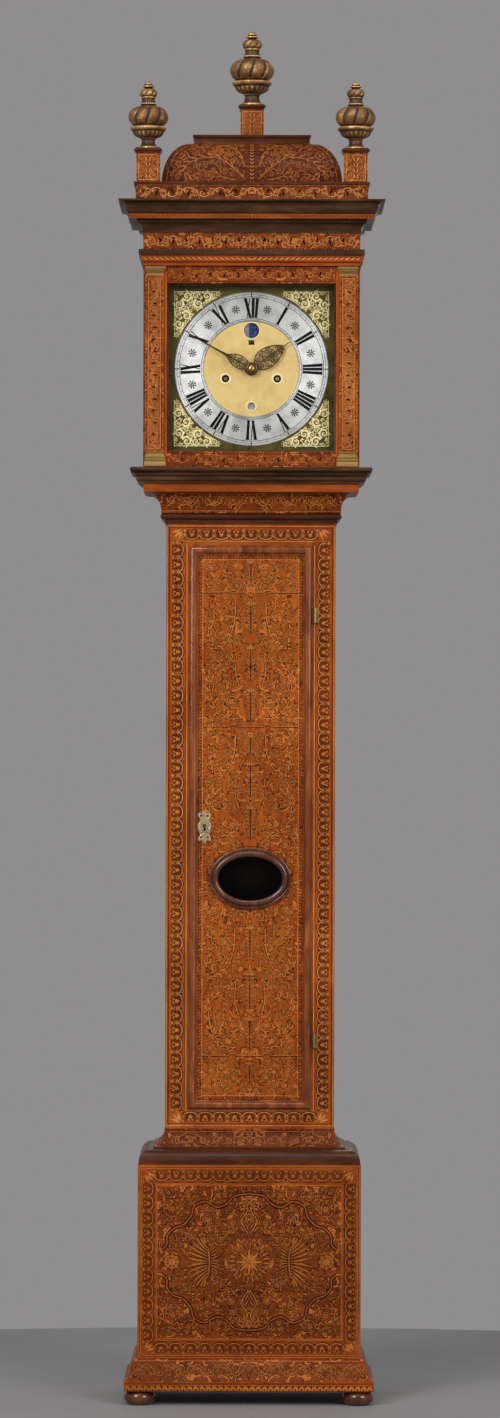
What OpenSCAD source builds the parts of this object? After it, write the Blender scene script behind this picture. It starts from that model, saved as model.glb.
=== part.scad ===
// Longcase clock with an eight-day movement, a seconds pendulum and two driving weights.
// +Z is up, the dial faces -Y, and the origin is on the floor at the middle of the footprint.

/* [Case] */
// Half width of the trunk
trunk_half = 151.5; // [148:0.5:154]
// Y of the trunk's front face
trunk_front_y = -44; // [-46:0.5:-42]
// Half width of the base
base_half = 199; // [197:0.5:201]
// Half width of the hood's frieze
hood_half = 193.8; // [193:0.1:195]
// Y of the hood's frieze
hood_front_y = -87.3; // [-88:0.1:-87]
// Y of the case's back
back_y = 131; // [129:0.5:133]
// Thickness of the case boards
board = 12; // [11:0.5:12]
// Thickness of the trunk's front frame and door
trunk_board = 18; // [18:0.5:19]
// Top of the trunk, where the hood rests
hood_z = 1646; // [1645:0.5:1646]

/* [Doors] */
// Half width of the trunk door's opening
opening_half = 98; // [97.5:0.1:98.5]
// Bottom of the trunk door's opening
opening_low = 536.5; // [535:0.5:537]
// Top of the trunk door's opening
opening_high = 1520.5; // [1520:0.5:1522]
// Height of the middle of the oval window in the trunk door
lenticle_z = 938; // [900:1:960]
// X of the trunk door's hinge axis
hinge_x = 115.6; // [115.4:0.1:116]
// Y of the trunk door's hinge axis
hinge_y = -47.6; // [-48:0.1:-47.4]
// X of the hood door's pivots
pivot_x = 186; // [185.5:0.1:186.5]
// Y of the hood door's pivots
pivot_y = -78; // [-78.5:0.1:-77.5]

/* [Dial and movement] */
// Height of the dial's centre
dial_z = 1852; // [1851:0.5:1853]
// Y of the dial plate's front
dial_y = -44; // [-44.5:0.1:-43.5]
// Half width of the square dial plate
dial_half = 150; // [149:0.5:150]
// Clockwise angle of the minute hand from twelve
minute_angle = 298.8; // [0:0.1:360]
// Clockwise angle of the hour hand from twelve
hour_angle = 55; // [0:0.1:360]
// Sideways distance of each winding arbor from the centre
winding_x = 46.4; // [46.3:0.1:46.5]
// Drop of the winding arbors below the centre
winding_drop = 17.5; // [17.4:0.1:17.6]
// Radius of each barrel, on its line
drum_r = 20; // [19:0.5:20]

/* [Pendulum and weights] */
// Height of the suspension above the dial's centre
suspension_rise = 80; // [79.5:0.1:80.5]
// Length from the suspension to the middle of the bob
pendulum_length = 994; // [990:1:996]
// Y of the pendulum
pendulum_y = 75; // [74:0.5:77]
// Radius of each weight
weight_r = 29; // [27:0.5:29]
// Height of each weight
weight_h = 240; // [220:5:245]
// Height of the run-down weights above the floor
weight_low = 75; // [70:1:90]

/* [Hidden] */

wood = "#a8602a";
dark_wood = "#3a2c22";
red_wood = "#6e3a22";
brass = "#c2a04c";
steel = "#8a8c90";
glass = "#a8c0c8";
silver = "#c8c8c2";

inner_half = trunk_half - board;
hood_inner = hood_half - board;
hood_low = hood_z + 27.5;
hinge_heights = [647.5, 1410];
base_low = 26;
base_top = 428;
base_front_y = trunk_front_y - (base_half - trunk_half);
frieze_z = 2034;
cornice_z = 2092.9;
roof_z = 2149.5;
plinth_top = 2182.3;
cap_z = 2260.5;
cap_h = 16.5;
pedestal_top = 2327.5;
side_pedestal_top = 2234;
pedestal_cap_h = 9.5;
side_finial_x = 185.3;
side_finial_y = -79.5;
side_finial_size = 0.898;
finial_y = 62;
plate_front_y = -17;
plate_back_y = 51;
plate_t = 3;
plate_half = 72;
winding_z = dial_z - winding_drop;
suspension_z = dial_z + suspension_rise;
seat_z = dial_z - 70;
going_x = winding_x - drum_r;
strike_x = -winding_x - drum_r;
pulley_r = 22;
weight_y = 17;
clip = 0.3;

function arc(cx, cz, rx, rz, a0, a1, n = 8) =
    [for (i = [0:n]) let (a = a0 + (a1 - a0) * i / n) [cx + rx * cos(a), cz + rz * sin(a)]];
function top_of(v) = v[len(v) - 1];
function flip(v) = [for (i = [len(v) - 1:-1:0]) [-v[i][0], v[i][1]]];

// A round bar along Y
module rod(x, z, y0, y1, r) {
    translate([x, y1, z]) rotate([90, 0, 0]) cylinder(h = y1 - y0, r = r, $fn = 32);
}

// A flat plate of a shape drawn as seen from the front, from y0 back by t
module plate(y0, t) {
    translate([0, y0 + t, 0]) rotate([90, 0, 0]) linear_extrude(t) children();
}

module slab(x0, x1, y0, y1, z0, z1) {
    translate([x0, y0, z0]) cube([x1 - x0, y1 - y0, z1 - z0]);
}

module both_sides() {
    children();
    mirror([1, 0, 0]) children();
}

// A moulding round the front and both sides of a box, mitred at the corners.
// The outline runs from bottom to top as [distance out from the box, height].
module wrap(outline, half, front, depth = 0) {
    reach = max([for (q = outline) q[0]]) + 2;
    low = outline[0][1] - 1;
    tall = top_of(outline)[1] - low + 1;
    face = concat([[-depth, outline[0][1]]], outline, [[-depth, top_of(outline)[1]]]);
    tuck = depth + 1;
    intersection() {
        translate([-half - reach, front, 0]) rotate([90, 0, 90])
            linear_extrude(2 * (half + reach)) polygon([for (q = face) [-q[0], q[1]]]);
        translate([0, 0, low]) linear_extrude(tall)
            polygon([[-half - reach, front - reach], [half + reach, front - reach],
                [half - tuck, front + tuck], [-half + tuck, front + tuck]]);
    }
    both_sides() intersection() {
        translate([half, back_y, 0]) rotate([90, 0, 0])
            linear_extrude(back_y - front + reach) polygon(face);
        translate([0, 0, low]) linear_extrude(tall)
            polygon([[half - tuck, front + tuck], [half + reach, front - reach],
                [half + reach, back_y], [half - tuck, back_y]]);
    }
}

// A solid crown with the same outline on its front and both sides and a flat back
module crown(outline, half, front, back) {
    low = outline[0][1];
    high = top_of(outline)[1];
    right = [for (q = outline) [half + q[0], q[1]]];
    face = [for (q = outline) [front - q[0], q[1]]];
    span = 2 * (half + 60);
    intersection() {
        translate([0, back, 0]) rotate([90, 0, 0]) linear_extrude(back - front + 60)
            polygon(concat(right, flip(right)));
        translate([-span / 2, 0, 0]) rotate([90, 0, 90]) linear_extrude(span)
            polygon(concat(face, [[back, high], [back, low]]));
    }
}

// A flat moulding frame on the plane y, mitred, proud to the front.
// The outline runs from the inner edge outwards as [distance, height].
module border(outline, half, z0, z1, y) {
    wide = top_of(outline)[0];
    run = half + wide;
    mid = (z0 + z1) / 2;
    rise = (z1 - z0) / 2;
    for (turn = [0, 180]) translate([0, 0, mid]) rotate([0, turn, 0]) {
        intersection() {
            translate([-run, y, rise]) rotate([90, 0, 90]) linear_extrude(2 * run)
                polygon([for (q = outline) [-q[1], q[0]]]);
            translate([0, y + 1, 0]) rotate([90, 0, 0]) linear_extrude(20)
                polygon([[-half, rise], [half, rise], [half + wide, rise + wide],
                    [-half - wide, rise + wide]]);
        }
        intersection() {
            translate([half, y, -rise - wide]) linear_extrude(2 * (rise + wide))
                polygon([for (q = outline) [q[0], -q[1]]]);
            translate([0, y + 1, 0]) rotate([90, 0, 0]) linear_extrude(20)
                polygon([[half, -rise], [half, rise], [half + wide, rise + wide],
                    [half + wide, -rise - wide]]);
        }
    }
}

// --- Case ---

module backboard() {
    right = [[base_half - board, 52], [base_half - board, 428], [inner_half, 428],
        [inner_half, hood_low + 3], [178, hood_low + 3], [178, 2030], [160, 2030], [160, 2140]];
    color(dark_wood) plate(back_y - board, board) polygon(concat(right, flip(right)));
}

module trunk_sides() {
    color(wood) both_sides() {
        slab(inner_half, trunk_half, trunk_front_y + trunk_board, back_y, base_top, hood_z);
        slab(inner_half, trunk_half, -10, back_y - board, hood_z, seat_z - 20);
    }
}

module trunk_front() {
    back = trunk_front_y + trunk_board;
    color(wood) {
        both_sides() slab(opening_half, trunk_half, trunk_front_y, back, base_top, hood_z);
        slab(-opening_half, opening_half, trunk_front_y, back, opening_high, hood_z);
        slab(-opening_half, opening_half, trunk_front_y, back, base_top, opening_low);
    }
}

module throat_moulding() {
    outline = concat([[3.5, 1574.7], [3.5, 1581.5]], arc(6, 1587, 5, 5, -90, 90),
        arc(30.5, 1593, 21.25, 36, 180, 90), [[32, 1629], [41, 1630], [41, hood_z]]);
    color(wood) wrap(outline, trunk_half, trunk_front_y);
}

module waist_moulding() {
    outline = concat([[46.5, 428]], arc(24, 432, 22.5, 22, 0, 90), [[20, 454], [20, 457.6]],
        arc(17.5, 486, 16.5, 28.4, 270, 180), [[1, 489]]);
    color(red_wood) wrap(outline, trunk_half, trunk_front_y);
}

module base_boards() {
    back_of_front = base_front_y + board;
    color(wood) {
        slab(-base_half, base_half, base_front_y, back_of_front, base_low, base_top);
        both_sides() slab(base_half - board, base_half, back_of_front, back_y, base_low, base_top);
        slab(-base_half + board, base_half - board, back_of_front, back_y, 40, 52);
    }
}

module plinth_moulding() {
    outline = concat([[23.8, 26], [23.8, 43]], arc(21, 82, 9, 38, 270, 225, 4),
        arc(3, 43.5, 11, 38, 40, 80, 4), [[3, 82]]);
    color(wood) wrap(outline, base_half, base_front_y);
}

module bun_feet() {
    outline = concat([[0, 0]], arc(13, 13.4, 15.3, 13.4, -90, 60, 10), [[17, 26], [0, 26]]);
    color(dark_wood) both_sides() for (y = [-87, back_y - 28.3])
        translate([195, y, 0]) rotate_extrude($fn = 48) polygon(outline);
}

module seatboard() {
    color(wood) difference() {
        slab(-trunk_half, trunk_half, -10, 58, seat_z - 20, seat_z);
        for (x = [going_x, going_x + 2 * pulley_r, strike_x, strike_x + 2 * pulley_r])
            translate([x, weight_y, seat_z - 30]) cylinder(h = 40, r = 5, $fn = 24);
    }
}

module trunk_fittings() {
    color(brass) {
        for (z = hinge_heights) {
            translate([hinge_x, hinge_y, z - 14]) cylinder(h = 28, r = 1.5, $fn = 24);
            for (end = [-13, 5]) translate([hinge_x, hinge_y, z + end]) difference() {
                cylinder(h = 8, r = 3.4, $fn = 32);
                translate([0, 0, -1]) cylinder(h = 10, r = 1.5, $fn = 24);
            }
            slab(hinge_x + 3.9, hinge_x + 6.5, trunk_front_y - 1.6, trunk_front_y, z - 13, z + 13);
            for (end = [-13, 5])
                slab(hinge_x + 1.7, hinge_x + 4, trunk_front_y - 1.6, trunk_front_y, z + end, z + end + 8);
        }
        keeper_y = trunk_front_y + trunk_board;
        slab(-120, -100, keeper_y, keeper_y + 1.5, 1015, 1047);
        slab(-106, -103, keeper_y + 1.5, keeper_y + 12, 1015, 1022);
        slab(-106, -103, keeper_y + 1.5, keeper_y + 12, 1040, 1047);
        slab(-106, -103, keeper_y + 12, keeper_y + 14, 1015, 1047);
    }
}

// --- Dial ---

module on_dial() {
    translate([0, 0, dial_z]) children();
}

module dial_plate() {
    color(brass) on_dial() difference() {
        plate(dial_y, 2.5) square(2 * dial_half, center = true);
        rod(0, 0, dial_y - 1, dial_y + 4, 7);
        for (x = [-winding_x, winding_x]) rod(x, -winding_drop, dial_y - 1, dial_y + 4, 6.8);
        rod(0, 69, dial_y - 1, dial_y + 4, 13.9);
        rod(0, -67, dial_y - 1, dial_y + 4, 6.8);
        slab(-4.8, 4.8, dial_y - 1, dial_y + 4, 43.7, 51.3);
    }
}

module chapter_ring() {
    color(silver) on_dial() difference() {
        translate([0, dial_y, 0]) rotate([90, 0, 0]) cylinder(h = 2, r = 138.5, $fn = 96);
        translate([0, dial_y + 1, 0]) rotate([90, 0, 0]) cylinder(h = 4, r = 86, $fn = 96);
    }
}

module spandrels() {
    color(brass) on_dial() for (turn = [0:90:270]) rotate([0, turn, 0])
        plate(dial_y - 2.5, 2.5)
            polygon(concat([[140, 140], [58.5, 140]], arc(0, 0, 141.5, 141.5, 66, 24, 8), [[140, 58.5]]));
}

module movement_plates() {
    holes = [[0, 0, 2], [11, 28.56, 1.6], [0, 53, 1.6], [0, suspension_rise, 2]];
    color(brass) on_dial() for (y = [plate_front_y, plate_back_y]) difference() {
        slab(-plate_half, plate_half, y, y + plate_t, -70, 100);
        for (x = [-winding_x, winding_x]) rod(x, -winding_drop, y - 1, y + 4, 4.8);
        for (q = holes) rod(q[0], q[1], y - 1, y + 4, q[2] + clip);
        rod(pin_at[0], pin_at[1], y - 1, y + 4, 1.6 + clip);
    }
}

module movement_pillars() {
    color(brass) on_dial() {
        for (q = [[-58, -65], [67, -65], [-67, 50], [67, 94]])
            rod(q[0], q[1], plate_front_y + plate_t, plate_back_y, 4);
        for (x = [-66, 66], z = [-54, 62])
            rod(x, z, dial_y + 2.5, plate_front_y, 3.5);
        // Back cock that carries the pendulum
        both_sides() slab(4, 16, plate_back_y + plate_t, pendulum_y + 5, suspension_rise - 3.5,
            suspension_rise + 14);
        slab(-16, 16, plate_back_y + plate_t, pendulum_y + 5, suspension_rise + 14,
            suspension_rise + 19);
    }
}

module bell() {
    outer = arc(0, 0, 42, 34, 0, 90, 10);
    inner = arc(0, 0, 39.5, 31.5, 90, 0, 10);
    color(brass) translate([0, 20, dial_z + 112]) {
        rotate_extrude($fn = 64) polygon(concat(outer, inner));
        translate([0, 0, 33]) cylinder(h = 6, r = 5, $fn = 24);
        slab(-5, 5, -4, 36, 39, 42);
        slab(-5, 5, 34, 37, suspension_rise - 93, 42);
    }
}

module line_of(x) {
    low = weight_low + weight_h + 46;
    color("#b09060") {
        translate([x, weight_y, low]) cylinder(h = winding_z - low, r = 1.1, $fn = 16);
        translate([x + 2 * pulley_r, weight_y, low]) cylinder(h = seat_z - 20 - low, r = 1.1, $fn = 16);
    }
}

module going_line() {
    line_of(going_x);
}

module strike_line() {
    line_of(strike_x);
}

module moon_disc() {
    color("#27406e") on_dial() {
        rod(0, 95, dial_y + 3, dial_y + 4.2, 52);
        rod(0, 95, dial_y + 4.2, dial_y + 10, 1.5);
    }
}

module date_ring() {
    color(silver) on_dial() difference() {
        rod(0, 0, dial_y + 5, dial_y + 6.2, 76);
        rod(0, 0, dial_y + 4, dial_y + 8, 58);
    }
}

// --- Hood ---

module hood_sides() {
    front = -60;
    color(wood) both_sides() {
        slab(hood_inner, hood_half, front, front + 40, hood_low, frieze_z);
        slab(hood_inner, hood_half, back_y - 45, back_y, hood_low, frieze_z);
        slab(hood_inner, hood_half, front + 40, back_y - 45, hood_low, hood_low + 45);
        slab(hood_inner, hood_half, front + 40, back_y - 45, frieze_z - 45, frieze_z);
    }
}

module hood_windows() {
    color(glass) both_sides()
        slab(hood_half - 7.5, hood_half - 5, -20, back_y - 45, hood_low + 45, frieze_z - 45);
}

module dial_mask() {
    color(dark_wood) {
        both_sides() slab(151, hood_inner, -60, -54, hood_low, frieze_z);
        slab(-151, 151, -60, -54, hood_low, 1701.5);
        slab(-151, 151, -60, -54, 2003, frieze_z);
    }
}

module hood_base_moulding() {
    outline = concat([[6.2, hood_z], [6.2, hood_z + 3]], arc(8, hood_z + 7, 4, 4, -90, 60, 6),
        [[12.5, hood_z + 13]], arc(22, hood_z + 13, 8, 6, 180, 90, 5),
        arc(18.7, hood_z + 23.5, 4, 4, -90, 90, 8));
    color(dark_wood) wrap(outline, hood_half, hood_front_y, 30);
}

module frieze() {
    outline = [[0, frieze_z], [0, 2040], [3.9, 2040.4], [3.9, 2052.4], [8, 2053], [8, 2062.6],
        [0, 2063.3], [0, cornice_z]];
    color(wood) wrap(outline, hood_half, hood_front_y, 30);
}

module cornice() {
    outline = concat([[1.5, cornice_z]], arc(11.7, cornice_z, 10.2, 17, 180, 90, 6),
        [[11.7, 2115.8], [24.7, 2115.8], [24.7, 2124.6]], arc(25, 2137, 6, 12, -90, 0, 4),
        arc(43.7, 2137, 12.7, 9, 180, 90, 5), [[43.7, roof_z]]);
    color(dark_wood) wrap(outline, hood_half, hood_front_y, 30);
}

module caddy_plinth() {
    color(wood) crown([[0, roof_z], [0, 2177.5], [3.3, 2177.5], [3.3, plinth_top]], 207.25, -100.75, back_y);
}

module caddy_dome() {
    cap = concat([[-2, cap_z], [-2, cap_z + 4]], arc(0, cap_z + 4, 2, 8, 180, 90, 4), [[0.5, cap_z + cap_h]]);
    color(wood) crown(arc(0, plinth_top, 56, cap_z - plinth_top, 0, 90, 12), 106, 0.5, 120);
    color(dark_wood) crown(cap, 106, 0.5, 120);
}

// A square block and its overhanging cap, under a finial
module pedestal(z0, z1) {
    translate([-20.75, -20.75, z0]) cube([41.5, 41.5, z1 - z0]);
    translate([-25, -25, z1]) cube([50, 50, pedestal_cap_h]);
}

module finial_pedestals() {
    color(dark_wood) {
        translate([0, finial_y, 0]) pedestal(cap_z + cap_h, pedestal_top);
        both_sides() translate([side_finial_x, side_finial_y, 0]) pedestal(plinth_top, side_pedestal_top);
    }
}

// A turned urn with a small bulb and a knob over it
module finial(size) {
    outline = concat([[0, 0], [20, 0], [19, 3], [13.5, 9], [13.5, 20]], arc(13.5, 34, 18, 14, -80, 0, 5),
        [[36, 39], [36, 42]], arc(16, 62.5, 24.3, 21, -62, 82, 12),
        [[14, 86], [17, 88.5], [14, 91], [13, 99], [15, 101]], arc(9, 110, 9, 8.5, -50, 80, 6),
        [[7, 120], [12.2, 123], [7, 126]], arc(0, 128, 8.5, 4.5, -10, 90, 4));
    scale(size) rotate_extrude($fn = 48) polygon(outline);
}

module finials() {
    color(brass) {
        translate([0, finial_y, pedestal_top + pedestal_cap_h]) finial(1);
        both_sides() translate([side_finial_x, side_finial_y, side_pedestal_top + pedestal_cap_h])
            finial(side_finial_size);
    }
}

// --- Hood door ---

module hood_door_pivots() {
    color(brass) {
        translate([pivot_x, pivot_y, hood_low]) cylinder(h = 9, r = 1.6, $fn = 24);
        translate([pivot_x, pivot_y, frieze_z - 9]) cylinder(h = 9, r = 1.6, $fn = 24);
    }
}

module hood_door_frame() {
    low = hood_low + 1;
    high = frieze_z - 1;
    color(wood) {
        difference() {
            slab(151, 190, -80, -62, low, high);
            translate([pivot_x, pivot_y, low - 1]) cylinder(h = 10, r = 1.85, $fn = 24);
            translate([pivot_x, pivot_y, high - 9]) cylinder(h = 10, r = 1.85, $fn = 24);
            slab(188.5, 191, -81, -76, low - 1, low + 10);
        }
        slab(-190, -151, -80, -62, low, high);
        slab(-151, 151, -80, -62, low, 1702);
        slab(-151, 151, -80, -62, 2003, high);
    }
}

module hood_door_glass() {
    color(glass) slab(-151, 151, -70, -67.5, 1702, 2003);
}

module pilasters() {
    color(wood) both_sides() slab(157, 190, -84, -80, 1701, 2017);
}

module pilaster_brasses() {
    color(brass) both_sides() {
        slab(157.5, 189, -84.5, -80, 2017, 2024);
        slab(155, 190.4, -86, -80, 2024, 2032.6);
        slab(153, 190.6, -86, -80, 1675.5, 1690);
        slab(155.5, 190.2, -85, -80, 1690, 1701);
    }
}

// --- Trunk door ---

module lenticle_hole(grow = 0) {
    polygon(arc(0, lenticle_z, 56 + grow, 37.5 + grow, 0, 352.5, 47));
}

module trunk_door_panel() {
    color(wood) plate(trunk_front_y, trunk_board) difference() {
        polygon([[-opening_half + 1.8, opening_low + 1.5], [opening_half - 1, opening_low + 1.5],
            [opening_half - 1, opening_high - 1.5], [-opening_half + 1.8, opening_high - 1.5]]);
        lenticle_hole(3);
    }
}

module trunk_door_moulding() {
    outline = concat([[0, 0], [0, 2], [1.8, 2]], arc(8.6, 2, 6.4, 6, 180, 0, 10), [[17.1, 2], [17.1, 0]]);
    color(red_wood) border(outline, 94.5, 539.4, 1518.5, trunk_front_y);
}

module lenticle_ring() {
    color(red_wood) {
        plate(trunk_front_y - 4, 4) difference() {
            lenticle_hole(17.5);
            lenticle_hole(3);
        }
        plate(trunk_front_y - 9, 5) difference() {
            lenticle_hole(13);
            lenticle_hole(2);
        }
    }
}

module lenticle_glass() {
    color(glass) plate(trunk_front_y + 2, 3) lenticle_hole(2.6);
}

// The keyhole plate, and the moving leaf and middle knuckle of each hinge
module door_brasses() {
    right = concat([[2, 1001.5], [5, 1007], [12, 1008], [10, 1014], [8, 1018]],
        arc(6, 1030, 6.5, 8, -70, 70, 6), [[6, 1042], [11, 1050], [5, 1052], [2, 1060]]);
    color(brass) translate([-82, 0, 0]) plate(trunk_front_y - 1.5, 1.5) difference() {
        polygon(concat(right, flip(right)));
        translate([0, 1032]) circle(r = 2.6, $fn = 24);
        polygon([[-1.2, 1032], [1.2, 1032], [1.9, 1024], [-1.9, 1024]]);
    }
    edge = 94.5 + 17.1;
    color(brass) for (z = hinge_heights) {
        translate([hinge_x, hinge_y, z - 4.7]) difference() {
            cylinder(h = 9.4, r = 3.4, $fn = 32);
            translate([0, 0, -1]) cylinder(h = 12, r = 1.8, $fn = 24);
        }
        slab(edge, edge + 0.45, -51, trunk_front_y - 0.3, z - 13, z + 13);
        slab(edge, hinge_x - 3.1, hinge_y - 1, hinge_y + 1, z - 4.7, z + 4.7);
    }
}

module door_lock() {
    y = trunk_front_y + trunk_board;
    color(steel) difference() {
        slab(-95.5, -58, y, y + 11, 1012, 1050);
        slab(-96, -75, y + 2.5, y + 8.5, 1025.5, 1036.5);
    }
}

module lock_bolt() {
    y = trunk_front_y + trunk_board;
    color(steel) slab(-95.8, -77, y + 3, y + 8, 1026, 1036);
}

// --- Hands and wheels ---

// A toothed wheel seen from the front, with one tooth at the angle called phase
module toothed(teeth, size, phase, arms = 0, rim = 0, hub = 0, bore = 1) {
    step = 360 / teeth;
    outer = size * teeth / 2 + 0.62 * size;
    root = size * teeth / 2 - 1.1 * size;
    difference() {
        polygon([for (i = [0:teeth - 1], k = [0:3])
            let (a = phase + step * (i + [-0.23, -0.09, 0.09, 0.23][k]), r = k % 3 == 0 ? root : outer)
            [r * cos(a), r * sin(a)]]);
        circle(r = bore / cos(15) + 0.02, $fn = 12);
        if (arms > 0) for (i = [0:arms - 1]) {
            a = i * 360 / arms + 360 / arms / 2;
            spread = 180 / arms - 9;
            outside = root - rim;
            polygon(concat(arc(0, 0, outside, outside, a - spread, a + spread, 6),
                arc(0, 0, hub, hub, a + spread * 0.6, a - spread * 0.6, 3)));
        }
    }
}

// A wheel of t thick at [x, z] from the dial's centre
module wheel(x, z, y, t, teeth, size, phase, arms = 0, rim = 0, hub = 0, bore = 1) {
    on_dial() plate(y, t) translate([x, z]) toothed(teeth, size, phase, arms, rim, hub, bore);
}

// Where the arbors stand, as [x, z] from the dial's centre
third_at = [11, 28.56];
escape_at = [0, 53];
minute_at = [0, -36];
pin_at = [-50, 28.36];
going_at = [winding_x, -winding_drop];
strike_at = [-winding_x, -winding_drop];
function heading(a, b) = atan2(b[1] - a[1], b[0] - a[0]);
function apart(a, b) = norm([b[0] - a[0], b[1] - a[1]]);
centre_at = [0, 0];
great_size = 2 * apart(going_at, centre_at) / 104;
third_size = 2 * apart(centre_at, third_at) / 68;
escape_size = 2 * apart(third_at, escape_at) / 63;
motion_size = 2 * 36 / 80;
hour_size = 2 * 36 / 78;
strike_size = 2 * apart(strike_at, pin_at) / 86;

module hand(angle, y, t) {
    on_dial() rotate([0, angle, 0]) plate(y, t) children();
}

module minute_hand() {
    right = [[4, 8], [7, 14], [11, 30], [9, 40], [3.5, 49], [2.4, 53], [1.7, 60], [0.7, 129.5]];
    color(brass) hand(minute_angle, -57, 1.4) difference() {
        union() {
            circle(r = 11, $fn = 48);
            polygon(concat(right, flip(right)));
        }
        circle(r = 1.6, $fn = 24);
    }
    color(brass) on_dial() rod(0, 0, -60.5, -57, 6.5);
}

module centre_wheel() {
    color(steel) on_dial() rod(0, 0, -57, plate_back_y + plate_t - 1, 1.55);
    color(brass) {
        wheel(0, 0, 8, 2, 60, third_size, heading(centre_at, third_at), 4, 4, 6, 1.55);
        on_dial() rod(0, 0, -55.5, -24, 2.8);
        wheel(0, 0, -23.5, 2, 40, motion_size, heading(centre_at, minute_at), 4, 3, 5, 1.55);
    }
    color(steel) wheel(0, 0, -10, 6, 8, great_size, heading(centre_at, going_at) + 22.5, bore = 1.55);
}

module hour_hand() {
    right = [[3.6, 8], [8, 14], [16, 24], [18, 36], [14, 50], [9, 60], [4, 68], [2, 74], [0.7, 86]];
    color(brass) hand(hour_angle, -51.5, 1.4) difference() {
        union() {
            circle(r = 12, $fn = 48);
            polygon(concat(right, flip(right)));
        }
        circle(r = 3.2, $fn = 24);
    }
}

module hour_wheel() {
    color(brass) {
        wheel(0, 0, -31, 2, 72, hour_size, heading(centre_at, minute_at) + 2.5, 4, 4, 8, 5.2);
        on_dial() difference() {
            rod(0, 0, -50.1, -29, 5.2);
            rod(0, 0, -51, -28, 3.2);
        }
    }
}

module minute_wheel() {
    color(brass) {
        wheel(minute_at[0], minute_at[1], -23.5, 2, 40, motion_size, 90 + 4.5, 4, 3, 5, 1.5);
        wheel(minute_at[0], minute_at[1], -32, 7, 6, hour_size, 90, bore = 1.5);
    }
    color(steel) on_dial() rod(minute_at[0], minute_at[1], -33, plate_front_y - 0.3, 1.5);
}

module third_wheel() {
    color(steel) {
        on_dial() rod(third_at[0], third_at[1], plate_front_y, plate_back_y + plate_t, 1.6);
        wheel(third_at[0], third_at[1], 5, 8, 8, third_size, heading(third_at, centre_at) + 22.5, bore = 1.6);
    }
    color(brass) wheel(third_at[0], third_at[1], 28, 1.8, 56, escape_size,
        heading(third_at, escape_at), 4, 3.5, 5, 1.6);
}

module escape_wheel() {
    tooth_r = 19;
    color(steel) {
        on_dial() rod(escape_at[0], escape_at[1], plate_front_y, plate_back_y + plate_t, 1.6);
        wheel(escape_at[0], escape_at[1], 25, 8, 7, escape_size,
            heading(escape_at, third_at) + 180 / 7, bore = 1.6);
    }
    color(brass) on_dial() plate(40, 1.4) translate(escape_at) difference() {
        polygon([for (i = [0:29], k = [0:2])
            let (a = 12 * i + [0, 1.2, 7][k], r = k == 0 ? tooth_r : 16 - k % 2) [r * cos(a), r * sin(a)]]);
        circle(r = 1.7, $fn = 12);
        for (a = [45:90:315]) polygon(concat(arc(0, 0, 12.5, 12.5, a - 34, a + 34, 5),
            arc(0, 0, 5, 5, a + 20, a - 20, 2)));
    }
}

module great_wheel(at, teeth, size, phase) {
    color(brass) wheel(at[0], at[1], -8, 3, teeth, size, phase, 4, 6, 11, 5.1);
}

module going_great_wheel() {
    great_wheel(going_at, 96, great_size, heading(going_at, centre_at));
}

module strike_great_wheel() {
    great_wheel(strike_at, 78, strike_size, heading(strike_at, pin_at));
}

module pin_wheel() {
    color(steel) {
        on_dial() rod(pin_at[0], pin_at[1], plate_front_y, plate_back_y + plate_t, 1.6);
        wheel(pin_at[0], pin_at[1], -10, 6, 8, strike_size, heading(pin_at, strike_at) + 22.5, bore = 1.6);
    }
    color(brass) {
        on_dial() plate(34, 2) translate(pin_at) difference() {
            circle(r = 17, $fn = 12);
            circle(r = 1.7, $fn = 12);
        }
        on_dial() for (a = [0:45:315]) rod(pin_at[0] + 13 * cos(a), pin_at[1] + 13 * sin(a), 36, 40, 1);
    }
}

// A grooved drum on its winding arbor, whose square end stands behind the dial
module barrel_of(at) {
    color(brass) on_dial() {
        rod(at[0], at[1], -3, 0, drum_r + 1.5);
        rod(at[0], at[1], 0, 38, drum_r - 1.2);
        rod(at[0], at[1], 38, 41, drum_r + 1.5);
    }
    color(steel) on_dial() {
        rod(at[0], at[1], plate_front_y - 2, -3, 4.5);
        rod(at[0], at[1], 41, plate_back_y + plate_t - 1, 4.5);
        slab(at[0] - 3, at[0] + 3, dial_y + 0.5, plate_front_y - 2, at[1] - 3, at[1] + 3);
    }
}

module going_barrel() {
    barrel_of(going_at);
}

module strike_barrel() {
    barrel_of(strike_at);
}

// The pallets stand clear above the wheel, and the crutch reaches down to the pendulum rod
module anchor() {
    color(steel) on_dial() {
        rod(0, suspension_rise, plate_front_y, 61, 1.6);
        plate(39.5, 2.4) translate([0, suspension_rise]) {
            right = [[4, -4], [14, -9], [17.5, -13], [20, -13], [17, -7], [5, 3], [2, 4]];
            polygon(concat([[-4, -4]], right, [for (i = [6:-1:1]) [-right[i][0], right[i][1]]]));
        }
        slab(-2, 2, 57, 59.5, suspension_rise - 120, suspension_rise - 1);
        both_sides() slab(2.6, 4.4, 57, pendulum_y + 4, suspension_rise - 122, suspension_rise - 118);
        slab(-4.4, 4.4, 57, 59.5, suspension_rise - 122, suspension_rise - 118);
    }
}

module pendulum_rod() {
    bob_z = suspension_z - pendulum_length;
    color(steel) {
        rod(0, suspension_z, pendulum_y - 3, pendulum_y + 3, 2);
        slab(-3, 3, pendulum_y - 0.3, pendulum_y + 0.3, suspension_z - 38, suspension_z - 1.5);
        translate([0, pendulum_y, bob_z + 47]) cylinder(h = pendulum_length - 85, r = 2.2, $fn = 24);
    }
    color(brass) translate([0, pendulum_y, bob_z - 74]) {
        cylinder(h = 20, r = 2, $fn = 24);
        translate([0, 0, 5]) cylinder(h = 6, r = 11, $fn = 36);
    }
}

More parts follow.
